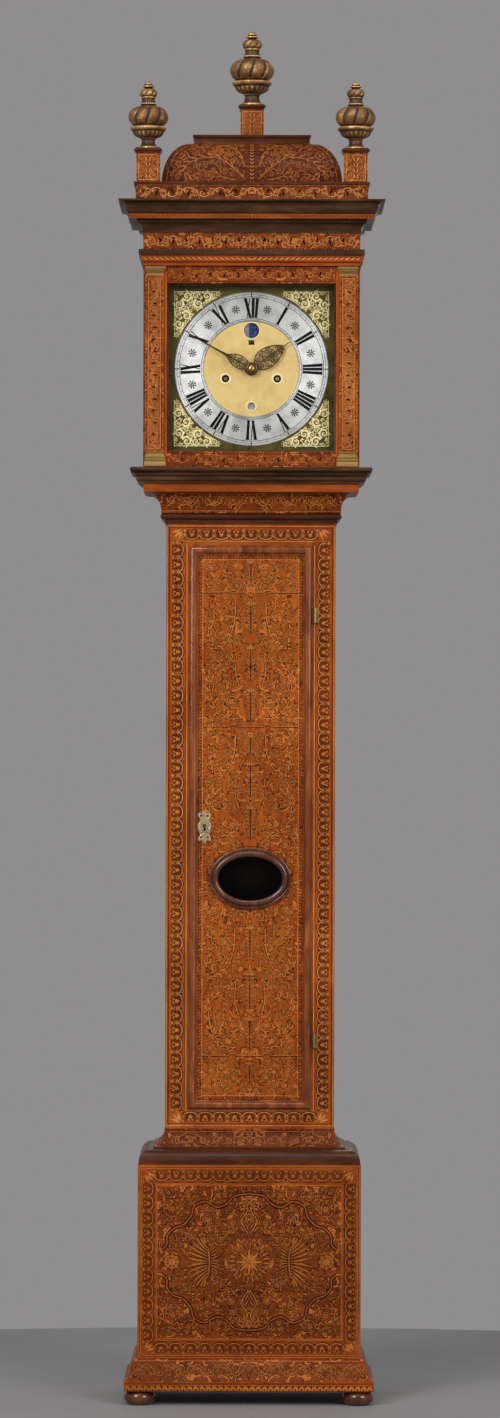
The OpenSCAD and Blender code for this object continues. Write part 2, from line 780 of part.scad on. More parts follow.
module pendulum_bob() {
    outline = concat([[0, -14]], arc(0, 0, 54, 14, -80, 80, 14), [[0, 14]]);
    color(brass) translate([0, pendulum_y, suspension_z - pendulum_length]) rotate([90, 0, 0])
        rotate_extrude($fn = 64) polygon(outline);
}

module weight_of(x) {
    top = weight_low + weight_h;
    outline = concat([[0, 0]], arc(weight_r - 3, 3, 3, 3, -90, 0, 4),
        arc(weight_r - 3, weight_h - 3, 3, 3, 0, 90, 4), [[0, weight_h]]);
    color(brass) translate([x + pulley_r, weight_y, 0]) {
        translate([0, 0, weight_low]) rotate_extrude($fn = 48) polygon(outline);
        translate([0, 0, top]) cylinder(h = 14, r = 3, $fn = 24);
        for (y = [-7, 4.6]) slab(-5, 5, y, y + 2.4, top + 12, top + 52);
        slab(-5, 5, -7, 7, top + 10, top + 14);
        rod(0, top + 46, -7.5, 7.5, 2);
        rod(0, top + 46, -3.5, 3.5, pulley_r - 1.6);
    }
}

module going_weight() {
    weight_of(going_x);
}

module strike_weight() {
    weight_of(strike_x);
}

module hammer() {
    color(steel) on_dial() {
        rod(-58, 62, plate_front_y + plate_t + 0.5, plate_back_y - 0.5, 2);
        slab(-59.5, -56.5, 18, 22, 62, 104);
        rod(-54, 106, 13, 27, 6);
    }
}

backboard();
trunk_sides();
trunk_front();
throat_moulding();
waist_moulding();
base_boards();
plinth_moulding();
bun_feet();
seatboard();
trunk_fittings();
dial_plate();
chapter_ring();
spandrels();
movement_plates();
movement_pillars();
bell();
going_line();
strike_line();
hood_sides();
hood_windows();
dial_mask();
hood_base_moulding();
frieze();
cornice();
caddy_plinth();
caddy_dome();
finial_pedestals();
finials();
hood_door_pivots();
hood_door_frame();
hood_door_glass();
pilasters();
pilaster_brasses();
trunk_door_panel();
trunk_door_moulding();
lenticle_ring();
lenticle_glass();
door_brasses();
door_lock();
lock_bolt();
moon_disc();
date_ring();
minute_hand();
centre_wheel();
hour_hand();
hour_wheel();
minute_wheel();
third_wheel();
escape_wheel();
going_great_wheel();
strike_great_wheel();
pin_wheel();
going_barrel();
strike_barrel();
anchor();
pendulum_rod();
pendulum_bob();
going_weight();
strike_weight();
hammer();
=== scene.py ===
"""Looks of the longcase clock: its woods, floral marquetry, dial, hands, brass and gilding.

Lengths in this file are millimetres until a mesh is made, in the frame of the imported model: the dial
faces -Y, +X is to the viewer's right, and Z is up from the floor.
"""

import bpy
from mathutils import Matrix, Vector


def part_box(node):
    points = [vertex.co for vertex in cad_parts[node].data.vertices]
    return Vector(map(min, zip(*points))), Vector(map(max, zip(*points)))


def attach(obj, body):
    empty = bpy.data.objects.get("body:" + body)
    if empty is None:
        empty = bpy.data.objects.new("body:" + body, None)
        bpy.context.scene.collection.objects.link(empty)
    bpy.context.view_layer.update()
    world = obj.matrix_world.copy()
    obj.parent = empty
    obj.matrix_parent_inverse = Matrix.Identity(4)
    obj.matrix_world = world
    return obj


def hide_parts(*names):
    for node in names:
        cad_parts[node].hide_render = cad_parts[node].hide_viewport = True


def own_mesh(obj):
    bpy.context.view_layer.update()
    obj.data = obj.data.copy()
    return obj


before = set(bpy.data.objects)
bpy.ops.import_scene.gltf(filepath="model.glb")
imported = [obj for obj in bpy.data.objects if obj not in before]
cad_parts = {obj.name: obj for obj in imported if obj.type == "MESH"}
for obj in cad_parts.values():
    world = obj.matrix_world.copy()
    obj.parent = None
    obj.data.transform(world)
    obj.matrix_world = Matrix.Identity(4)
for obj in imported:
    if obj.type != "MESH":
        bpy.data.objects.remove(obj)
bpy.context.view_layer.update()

import copy
import random
from math import atan2, cos, degrees, hypot, inf, pi, radians, sin, sqrt

import bmesh
import bpy
from mathutils import Vector

MM = 0.001


def box_of(node):
    """The lowest and highest corner of a CAD node, in millimetres."""
    low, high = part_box(node)
    return [v / MM for v in low], [v / MM for v in high]


# ---------------------------------------------------------------- places taken from the frame

trunk_low, trunk_high = box_of("trunk_front")
base_low, base_high = box_of("base_boards")
plate_low, plate_high = box_of("dial_plate")
door_low, door_high = box_of("trunk_door_panel")

TRUNK_HALF = trunk_high[0]
TRUNK_FRONT = trunk_low[1]
TRUNK_Z = (trunk_low[2], trunk_high[2])
BASE_HALF = base_high[0]
BASE_FRONT = base_low[1]
BACK = base_high[1]
BASE_Z = (26, 428)
SEAT_FOOT = 1762.0
HOOD_HALF = 193.8
HOOD_FRONT = -87.3
DIAL_Z = (plate_low[2] + plate_high[2]) / 2
DIAL_Y = plate_low[1]


# ---------------------------------------------------------------- colours and materials

def srgb(red, green, blue, alpha=1.0):
    """A colour given as 0 to 255 screen values, as the linear values that shaders take."""
    def linear(v):
        v /= 255.0
        return v / 12.92 if v <= 0.04045 else ((v + 0.055) / 1.055) ** 2.4
    return (linear(red), linear(green), linear(blue), alpha)


def srgb_all(*colours):
    return [srgb(*colour) for colour in colours]


class Shader:
    """A material's node tree, with short calls that add and link the nodes that this file uses."""

    def __init__(self, name):
        self.material = bpy.data.materials.new(name)
        self.material.use_nodes = True
        self.nodes = self.material.node_tree.nodes
        self.links = self.material.node_tree.links
        self.bsdf = self.nodes["Principled BSDF"]
        self.place = self.nodes.new("ShaderNodeTexCoord").outputs["Object"]

    def set(self, **values):
        for name, value in values.items():
            self.bsdf.inputs[name.replace("_", " ")].default_value = value

    def feed(self, socket, output):
        self.links.new(output, self.bsdf.inputs[socket])

    def mapped(self, scale):
        node = self.nodes.new("ShaderNodeMapping")
        node.inputs["Scale"].default_value = scale
        self.links.new(self.place, node.inputs["Vector"])
        return node.outputs["Vector"]

    def noise(self, scale, detail=4.0, rough=0.55, stretch=(1, 1, 1), twist=0.0):
        node = self.nodes.new("ShaderNodeTexNoise")
        node.inputs["Scale"].default_value = scale
        node.inputs["Detail"].default_value = detail
        node.inputs["Roughness"].default_value = rough
        node.inputs["Distortion"].default_value = twist
        self.links.new(self.mapped(stretch), node.inputs["Vector"])
        return node.outputs["Fac"]

    def cells(self, scale, stretch=(1, 1, 1)):
        node = self.nodes.new("ShaderNodeTexVoronoi")
        node.inputs["Scale"].default_value = scale
        self.links.new(self.mapped(stretch), node.inputs["Vector"])
        return node.outputs["Distance"]

    def seaweed(self, ground, pale, dark, scale=46.0, bands=3.3, strength=0.85):
        """Fine curling lines, a dark one beside each pale one, alike to the left and right of x = 0."""
        parts = self.nodes.new("ShaderNodeSeparateXYZ")
        folded = self.nodes.new("ShaderNodeCombineXYZ")
        self.links.new(self.place, parts.inputs[0])
        self.links.new(self.add(parts.outputs[0], 0.0, "ABSOLUTE"), folded.inputs[0])
        self.links.new(parts.outputs[1], folded.inputs[1])
        self.links.new(parts.outputs[2], folded.inputs[2])
        curl = self.nodes.new("ShaderNodeTexNoise")
        curl.inputs["Scale"].default_value = scale
        curl.inputs["Detail"].default_value = 1.6
        curl.inputs["Distortion"].default_value = 1.5
        self.links.new(folded.outputs[0], curl.inputs["Vector"])
        wave = self.add(self.add(curl.outputs["Fac"], bands, "MULTIPLY"), 0.5, "PINGPONG")
        light = self.scaled(wave, strength, 0.0, 0.09, 0.13)
        shade = self.add(self.scaled(wave, 0.0, strength, 0.1, 0.14), self.scaled(wave, 1.0, 0.0, 0.22, 0.27),
                         "MULTIPLY")
        return self.mix(self.mix(ground, pale, light), dark, shade)

    def ramp(self, value, stops):
        """Colours along a value: stops is a list of (position, colour)."""
        node = self.nodes.new("ShaderNodeValToRGB")
        band = node.color_ramp
        while len(band.elements) < len(stops):
            band.elements.new(0.5)
        for element, (position, colour) in zip(band.elements, stops):
            element.position = position
            element.color = colour
        self.links.new(value, node.inputs["Fac"])
        return node.outputs["Color"]

    def mix(self, a, b, amount, how="MIX"):
        node = self.nodes.new("ShaderNodeMix")
        node.data_type = "RGBA"
        node.blend_type = how
        for socket, value in ((node.inputs[6], a), (node.inputs[7], b), (node.inputs[0], amount)):
            if isinstance(value, (int, float, tuple)):
                socket.default_value = value
            else:
                self.links.new(value, socket)
        return node.outputs[2]

    def scaled(self, value, low, high, from_low=0.0, from_high=1.0):
        node = self.nodes.new("ShaderNodeMapRange")
        node.inputs["From Min"].default_value = from_low
        node.inputs["From Max"].default_value = from_high
        node.inputs["To Min"].default_value = low
        node.inputs["To Max"].default_value = high
        self.links.new(value, node.inputs["Value"])
        return node.outputs["Result"]

    def add(self, a, b, how="ADD"):
        node = self.nodes.new("ShaderNodeMath")
        node.operation = how
        for socket, value in zip(node.inputs, (a, b)):
            if isinstance(value, (int, float)):
                socket.default_value = value
            else:
                self.links.new(value, socket)
        return node.outputs[0]

    def bump(self, height, depth, strength=1.0):
        node = self.nodes.new("ShaderNodeBump")
        node.inputs["Strength"].default_value = strength
        node.inputs["Distance"].default_value = depth * MM
        self.links.new(height, node.inputs["Height"])
        self.feed("Normal", node.outputs["Normal"])

    def edges(self, low, high):
        """0 in the hollows and 1 on the raised edges of the mesh."""
        node = self.nodes.new("ShaderNodeNewGeometry")
        return self.scaled(node.outputs["Pointiness"], 0.0, 1.0, low, high)


def wood(name, dark, mid, light, grain=2, gloss=0.36, figure=55.0, wear=0.5, coat=0.0, lines=None, shine=0.12,
         polish=0.22):
    """Waxed wood whose grain runs along one axis, with figure, fibres and darker and lighter patches of old
    wax.

    lines gives the pale and the dark colour of fine marquetry over it."""
    s = Shader(name)
    dark, mid, light = srgb_all(dark, mid, light)
    along = [1.0, 1.0, 1.0]
    along[grain] = 0.16
    fine = [1.0, 1.0, 1.0]
    fine[grain] = 0.035
    figure_fac = s.noise(figure, 5.0, 0.6, tuple(along), 0.8)
    fibre = s.noise(1500.0, 3.0, 0.6, tuple(fine))
    patch = s.noise(7.0, 3.0, 0.5)
    tone = s.add(s.scaled(figure_fac, 0.0, 0.72, 0.25, 0.75), s.scaled(fibre, 0.0, 0.28, 0.3, 0.7))
    colour = s.ramp(tone, [(0.12, dark), (0.5, mid), (0.88, light)])
    if lines:
        colour = s.seaweed(colour, *srgb_all(*lines))
    aged = s.mix(colour, s.ramp(patch, [(0.3, (0.62, 0.55, 0.5, 1)), (0.7, (1.18, 1.14, 1.1, 1))]), wear,
                 "MULTIPLY")
    s.feed("Base Color", aged)
    s.feed("Roughness", s.scaled(s.add(fibre, patch), gloss - 0.08, gloss + 0.14, 0.7, 1.3))
    s.bump(fibre, 0.06, 0.35)
    s.set(Coat_Weight=coat, Coat_Roughness=polish, Specular_IOR_Level=shine)
    return s.material


def metal(name, dark, light, rough=(0.22, 0.42), grain=260.0, depth=0.02, tarnish=0.6, metallic=1.0,
          edge=None, shine=0.5):
    """Metal with clouded tarnish, fine scratches and, where edge is given, brighter edges that are partly
    wear and partly a painted highlight.
    """
    s = Shader(name)
    cloud = s.noise(38.0, 5.0, 0.62)
    fine = s.noise(grain * 6, 3.0, 0.6)
    colour = s.ramp(cloud, [(0.28, srgb(*dark)), (0.28 + 0.5 * tarnish, srgb(*light))])
    # Painted highlight: the raised edges take the brighter edge colour, partly as wear.
    if edge:
        colour = s.mix(colour, srgb(*edge), s.edges(0.5, 0.56))
    s.feed("Base Color", colour)
    s.feed("Roughness", s.scaled(s.add(cloud, fine), rough[0], rough[1], 0.6, 1.4))
    s.bump(fine, depth, 0.5)
    s.set(Metallic=metallic, Specular_IOR_Level=shine)
    return s.material


def silvering(name, dark, light):
    """Silver rubbed on by hand, with a painted sheen: lighter at the sides of the ring than at its top and
    bottom.
    """
    s = Shader(name)
    cloud = s.noise(38.0, 5.0, 0.62)
    fine = s.noise(1560.0, 3.0, 0.6)
    parts = s.nodes.new("ShaderNodeSeparateXYZ")
    s.links.new(s.place, parts.inputs[0])
    angle = s.add(parts.outputs[0], s.add(parts.outputs[2], -DIAL_Z * MM), "ARCTAN2")
    side = s.add(s.add(angle, 0.0, "SINE"), 0.0, "ABSOLUTE")
    colour = s.ramp(cloud, [(0.28, srgb(*dark)), (0.58, srgb(*light))])
    # Painted sheen: the ring is lighter at its sides and darker at its top and bottom, where light on
    # circular grain would fall.
    painted_sheen = s.ramp(side, [(0.2, (0.6, 0.6, 0.58, 1)), (0.7, (0.74, 0.74, 0.73, 1)),
                           (0.97, (1.05, 1.05, 1.05, 1))])
    s.feed("Base Color", s.mix(colour, painted_sheen, 1.0, "MULTIPLY"))
    s.feed("Roughness", s.scaled(s.add(cloud, fine), 0.42, 0.6, 0.6, 1.4))
    s.bump(fine, 0.02, 0.5)
    s.set(Metallic=0.25)
    return s.material


def gilded_wood(name):
    """Old leaf: brightest on the raised parts as a painted highlight, worn to red-brown bole and dirt in the
    hollows, whose darkness is partly painted shade.
    """
    s = Shader(name)
    cloud = s.noise(55.0, 6.0, 0.7)
    fine = s.noise(900.0, 3.0, 0.6)
    height = s.add(s.edges(0.47, 0.54), s.scaled(cloud, -0.4, 0.4, 0.2, 0.8))
    # Colour by relief: painted shade in the hollows and painted highlight on the raised parts, over bole,
    # dirt and wear.
    s.feed("Base Color", s.ramp(height, [(0.15, srgb(34, 15, 5)), (0.45, srgb(82, 48, 21)),
                                         (0.7, srgb(130, 88, 43)), (0.94, srgb(206, 166, 100))]))
    s.feed("Metallic", s.scaled(height, 0.0, 0.5, 0.4, 0.95))
    s.feed("Roughness", s.scaled(height, 0.62, 0.4, 0.1, 0.9))
    s.bump(s.add(fine, cloud), 0.12, 0.5)
    return s.material


def glazing(name, tint, alpha, rough=0.03, shine=0.5):
    """A thin pane that lets the light through, with a few bubbles and ripples of old glass."""
    s = Shader(name)
    tint = srgb(*tint)
    deeper = tuple(v * 0.85 for v in tint[:3]) + (1,)
    s.bump(s.noise(18.0, 2.0, 0.5, (1, 1, 0.35)), 0.25, 0.25)
    s.feed("Base Color", s.ramp(s.cells(40.0), [(0.0, tint), (0.5, deeper)]))
    s.feed("Roughness", s.scaled(s.noise(60.0, 3.0), rough, rough + 0.05))
    s.set(Alpha=alpha, IOR=1.5, Specular_IOR_Level=shine)
    return s.material


def figured(name, dark, mid, light, gloss=0.34):
    """Burr veneer, with swirling figure in every direction and small dark eyes."""
    s = Shader(name)
    dark, mid, light = srgb_all(dark, mid, light)
    swirl = s.noise(42.0, 6.0, 0.66, (1, 1, 0.8), 2.2)
    eyes = s.cells(210.0)
    fibre = s.noise(1100.0, 3.0, 0.6, (1, 1, 0.12))
    tone = s.add(s.scaled(swirl, 0.0, 0.8, 0.28, 0.72), s.scaled(fibre, 0.0, 0.2, 0.3, 0.7))
    colour = s.ramp(tone, [(0.1, dark), (0.48, mid), (0.9, light)])
    colour = s.mix(colour, dark, s.scaled(eyes, 0.45, 0.0, 0.0, 0.22))
    s.feed("Base Color", colour)
    s.feed("Roughness", s.scaled(s.add(fibre, swirl), gloss - 0.08, gloss + 0.12, 0.7, 1.3))
    s.bump(fibre, 0.05, 0.3)
    s.set(Coat_Weight=0.05, Coat_Roughness=0.2, Specular_IOR_Level=0.25)
    return s.material


FINE_LINES = ((196, 112, 48), (66, 22, 4))
DIM_LINES = ((168, 100, 50), (50, 18, 5))
DOME_LINES = ((130, 72, 30), (38, 13, 4))

FINISH = {
    "ground_orange": wood("ground_orange", (124, 52, 10), (160, 76, 22), (188, 102, 40)),
    "ground_orange_x": wood("ground_orange_x", (118, 48, 10), (152, 70, 20), (180, 96, 36), grain=0),
    "door": wood("door_veneer", (126, 52, 9), (160, 76, 19), (188, 102, 36), lines=FINE_LINES),
    "seaweed": wood("seaweed_veneer", (92, 36, 8), (126, 57, 17), (156, 80, 30), grain=0, lines=FINE_LINES),
    "dome": wood("dome_veneer", (58, 22, 5), (84, 37, 11), (112, 54, 20), grain=0, lines=DOME_LINES,
                 coat=0.0, shine=0.08),
    "dark_seaweed": wood("dark_seaweed_veneer", (74, 30, 9), (106, 49, 17), (136, 70, 29), grain=0,
                         lines=DIM_LINES),
    "upright_seaweed": wood("upright_seaweed_veneer", (116, 56, 18), (150, 80, 32), (184, 112, 56),
                            lines=FINE_LINES),
    "ground_brown": wood("ground_brown", (66, 28, 10), (96, 43, 16), (126, 62, 26), grain=0),
    "pale": wood("pale_inlay", (178, 106, 50), (206, 134, 70), (226, 160, 98), figure=150.0, wear=0.7),
    "amber": wood("amber_inlay", (164, 90, 34), (190, 112, 48), (208, 134, 68), figure=150.0, wear=0.7),
    "dull_amber": wood("dull_amber_inlay", (134, 70, 26), (160, 90, 38), (182, 112, 54), figure=150.0),
    "ink": wood("dark_inlay", (32, 11, 3), (52, 19, 6), (76, 32, 11), figure=120.0, wear=0.6),
    "brown": wood("brown_inlay", (76, 30, 8), (100, 42, 12), (124, 58, 20), figure=120.0, wear=0.6),
    "olive": wood("dark_moulding", (40, 25, 14), (69, 45, 28), (100, 71, 46), grain=0, gloss=0.34),
    "walnut": wood("walnut_moulding", (44, 18, 6), (72, 34, 13), (104, 56, 26), grain=0, gloss=0.3,
                   coat=0.05, shine=0.22),
    "turned_walnut": wood("turned_walnut", (50, 23, 10), (88, 46, 22), (122, 72, 42), gloss=0.2, coat=0.6,
                          shine=0.4, polish=0.08),
    "walnut_z": wood("walnut_upright", (80, 34, 10), (130, 66, 27), (172, 102, 54), gloss=0.3, coat=0.6,
                     shine=0.15, polish=0.06),
    "oak": wood("carcase_oak", (58, 38, 22), (92, 64, 38), (124, 90, 56), gloss=0.6, coat=0.0),
    "burr": figured("burr_veneer", (78, 34, 12), (128, 62, 22), (168, 96, 42)),
    "brass": metal("polished_brass", (150, 112, 52), (214, 176, 100)),
    "plate": metal("dial_brass", (66, 56, 22), (104, 92, 42), rough=(0.38, 0.6)),
    "gilt": metal("gilt_brass", (206, 162, 78), (255, 232, 160), rough=(0.36, 0.56), tarnish=0.12,
                  metallic=0.1, edge=(255, 242, 186)),
    "matting": metal("matted_gold", (222, 188, 112), (236, 208, 140), rough=(0.5, 0.66), grain=420.0,
                     depth=0.16, metallic=0.65),
    "capital": metal("aged_brass", (54, 38, 18), (104, 78, 42), rough=(0.3, 0.5), edge=(168, 134, 80)),
    "lock": metal("lock_brass", (88, 70, 44), (150, 128, 90), rough=(0.3, 0.5), edge=(204, 184, 144)),
    "hand": metal("hand_brass", (26, 16, 7), (58, 40, 18), rough=(0.34, 0.5), metallic=0.6,
                  edge=(88, 64, 30)),
    "silver": silvering("silvered_ring", (198, 199, 198), (250, 250, 248)),
    "steel": metal("steel", (70, 72, 76), (142, 144, 148)),
    # Black wax fills the engraving; the same black also stands as painted shade in the keyhole and the
    # winding holes.
    "wax": metal("black_wax_and_shade", (3, 3, 3), (10, 9, 8), rough=(0.5, 0.7), metallic=0.0, shine=0.1),
    "blue": metal("moon_blue", (14, 30, 84), (34, 66, 140), rough=(0.3, 0.45), metallic=0.1),
    "moonlight": metal("moon_grey", (96, 96, 92), (150, 150, 144), rough=(0.4, 0.55), metallic=0.3),
    "gilding": gilded_wood("gilding_wear_and_shade"),
    "hood_glass": glazing("hood_glass", (60, 66, 62), 0.05),
    # The lenticle's near-black tint is painted shade: it keeps the lit bob and trunk behind the glass dark.
    "lenticle_glass": glazing("lenticle_glass", (4, 3, 3), 0.6, rough=0.05, shine=0.12),
    "gut": wood("gut_line", (120, 88, 48), (156, 120, 70), (186, 150, 96), gloss=0.5, coat=0.0),
}


# ---------------------------------------------------------------- mesh building

class Pile:
    """Collects the points and faces of one piece, with a material number for each face."""

    def __init__(self):
        self.points = []
        self.faces = []
        self.marks = []

    def add(self, points, faces, mark=0):
        start = len(self.points)
        self.points.extend(points)
        self.faces.extend(tuple(start + i for i in face) for face in faces)
        self.marks.extend([mark] * len(faces))

    def piece(self, name, body, finishes, slot, stands_for=(), sharp=32.0):
        """Makes the Blender object, a finish for each mark. Edges over sharp degrees stay crisp."""
        mesh = bpy.data.meshes.new(name)
        mesh.from_pydata([(x * MM, y * MM, z * MM) for x, y, z in self.points], [], self.faces)
        for finish in finishes:
            mesh.materials.append(FINISH[finish])
        mesh.polygons.foreach_set("material_index", self.marks)
        shape = bmesh.new()
        shape.from_mesh(mesh)
        bmesh.ops.recalc_face_normals(shape, faces=shape.faces)
        shape.to_mesh(mesh)
        shape.free()
        mesh.polygons.foreach_set("use_smooth", [True] * len(mesh.polygons))
        mesh.set_sharp_from_angle(angle=radians(sharp))
        made = bpy.data.objects.new(name, mesh)
        bpy.context.scene.collection.objects.link(made)
        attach(made, body)
        if stands_for:
            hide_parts(*stands_for)
        return made


def strip(pile, rings, mark=0, closed=False, caps=True):
    """Joins rings of the same number of points, each ring closed on itself."""
    count = len(rings[0])
    points = [point for ring in rings for point in ring]
    faces = []
    for i in range(len(rings) if closed else len(rings) - 1):
        a = i * count
        b = (i + 1) % len(rings) * count
        faces += [(a + j, a + (j + 1) % count, b + (j + 1) % count, b + j) for j in range(count)]
    if caps and not closed:
        faces.append(tuple(range(count)))
        faces.append(tuple((len(rings) - 1) * count + j for j in reversed(range(count))))
    pile.add(points, faces, mark)


def board(pile, x, y, z, bevel=0.6, mark=0):
    """A board between pairs of limits, with its arrises taken off."""
    def ring(inset, height):
        corners = []
        for (sx, sy) in ((0, 0), (1, 0), (1, 1), (0, 1)):
            cx = x[sx] + (inset if sx == 0 else -inset)
            cy = y[sy] + (inset if sy == 0 else -inset)
            ox = bevel if sx == 0 else -bevel
            oy = bevel if sy == 0 else -bevel
            pair = [(cx + ox, cy, height), (cx, cy + oy, height)]
            corners += pair if sx != sy else pair[::-1]
        return corners
    strip(pile, [ring(bevel, z[0]), ring(0, z[0] + bevel), ring(0, z[1] - bevel), ring(bevel, z[1])], mark)


def arc(cx, cz, rx, rz, a0, a1, count=18):
    """Points on an elliptical arc from a0 to a1 degrees."""
    turns = [radians(a0 + (a1 - a0) * i / count) for i in range(count + 1)]
    return [(cx + rx * cos(turn), cz + rz * sin(turn)) for turn in turns]


def eased(outline, cut=0.5, least=24.0):
    """The outline with each sharp corner cut back a little, as hands and cloths wear it."""
    outline = [here for i, here in enumerate(outline)
               if not i or hypot(here[0] - outline[i - 1][0], here[1] - outline[i - 1][1]) > 1e-4]
    soft = [outline[0]]
    for before, here, after in zip(outline, outline[1:], outline[2:]):
        turn = abs(degrees(atan2(after[1] - here[1], after[0] - here[0])
                           - atan2(here[1] - before[1], here[0] - before[0]))) % 360
        if min(turn, 360 - turn) < least:
            soft.append(here)
            continue
        for end in (before, after):
            run = hypot(end[0] - here[0], end[1] - here[1])
            part = min(cut, run * 0.4) / run
            soft.append((here[0] + (end[0] - here[0]) * part, here[1] + (end[1] - here[1]) * part))
    return soft + [outline[-1]]


def mark_by_height(pile, start, mark_at):
    """Gives each face from start on the material that mark_at says for its middle height."""
    for i in range(start, len(pile.faces)):
        heights = [pile.points[j][2] for j in pile.faces[i]]
        pile.marks[i] = mark_at((min(heights) + max(heights)) / 2)


def surround(pile, outline, sides, front, back, depth, mark_at=None):
    """A moulding round the left, front and right of a box, mitred at its two front corners.

    The outline runs up as (distance out from the box, height). mark_at gives a height its material."""
    left, right = sides
    section = [(-depth, outline[0][1])] + list(outline) + [(-depth, outline[-1][1])]
    rings = []
    for ends in ((left, -1, back), (left, -1, None), (right, 1, None), (right, 1, back)):
        x, way, y = ends
        rings.append([(x + way * p, front - p if y is None else y, z) for p, z in section])
    start = len(pile.faces)
    strip(pile, rings)
    if mark_at:
        mark_by_height(pile, start, mark_at)


def lathe(pile, outline, centre, base, count=64, shape=None, mark=0, closed=False):
    """Turns an outline of (radius, height) about an upright axis.

    shape(angle, radius, height) may carve it. closed joins the outline's ends, which makes a ring."""
    rings = []
    for radius, height in outline:
        ring = []
        for i in range(count):
            angle = 2 * pi * i / count
            r = shape(angle, radius, height) if shape else radius
            ring.append((centre[0] + r * cos(angle), centre[1] + r * sin(angle), base + height))
        rings.append(ring)
    strip(pile, rings, mark, closed)


def resampled(path, step):
    """Points at even steps along a path."""
    out = [path[0]]
    left = step
    for a, b in zip(path, path[1:]):
        run = hypot(b[0] - a[0], b[1] - a[1])
        done = 0.0
        while run - done >= left:
            done += left
            out.append((a[0] + (b[0] - a[0]) * done / run, a[1] + (b[1] - a[1]) * done / run))
            left = step
        left -= run - done
    return out + [path[-1]] if hypot(out[-1][0] - path[-1][0], out[-1][1] - path[-1][1]) > step * 0.3 else out


# ---------------------------------------------------------------- inlay drawing

PALE, INK, AMBER, BROWN = 0, 1, 2, 3
LIFT = {PALE: 0.2, AMBER: 0.15, INK: 0.1, BROWN: 0.05}
ARCH_SPAN = 26.0
SIDES = ((-1, "left"), (1, "right"))
INLAY_WOODS = ("pale", "ink", "amber", "brown")
DULL_WOODS = ("amber", "ink", "dull_amber", "brown")


def flat(front):
    """Places a drawing on an upright face at y = front."""
    return lambda u, v, h: (u, front - h, v)


def upright_side(face, way):
    """Places a drawing on the side of the case: u runs back along Y."""
    return lambda u, v, h: (way * (face + h), u, v)


def straight(u, v):
    return u, v


def across(centre=0.0):
    """Mirrors a drawing left to right about u = centre."""
    return lambda u, v: (2 * centre - u, v)


def upturned(centre):
    """Mirrors a drawing top to bottom about v = centre."""
    return lambda u, v: (u, 2 * centre - v)


def four_ways(centre_v, centre_u=0.0):
    """Mirrors a drawing into the four quarters round a centre."""
    def both(u, v):
        return 2 * centre_u - u, 2 * centre_v - v
    return straight, across(centre_u), upturned(centre_v), both


MIRRORED = (straight, across())


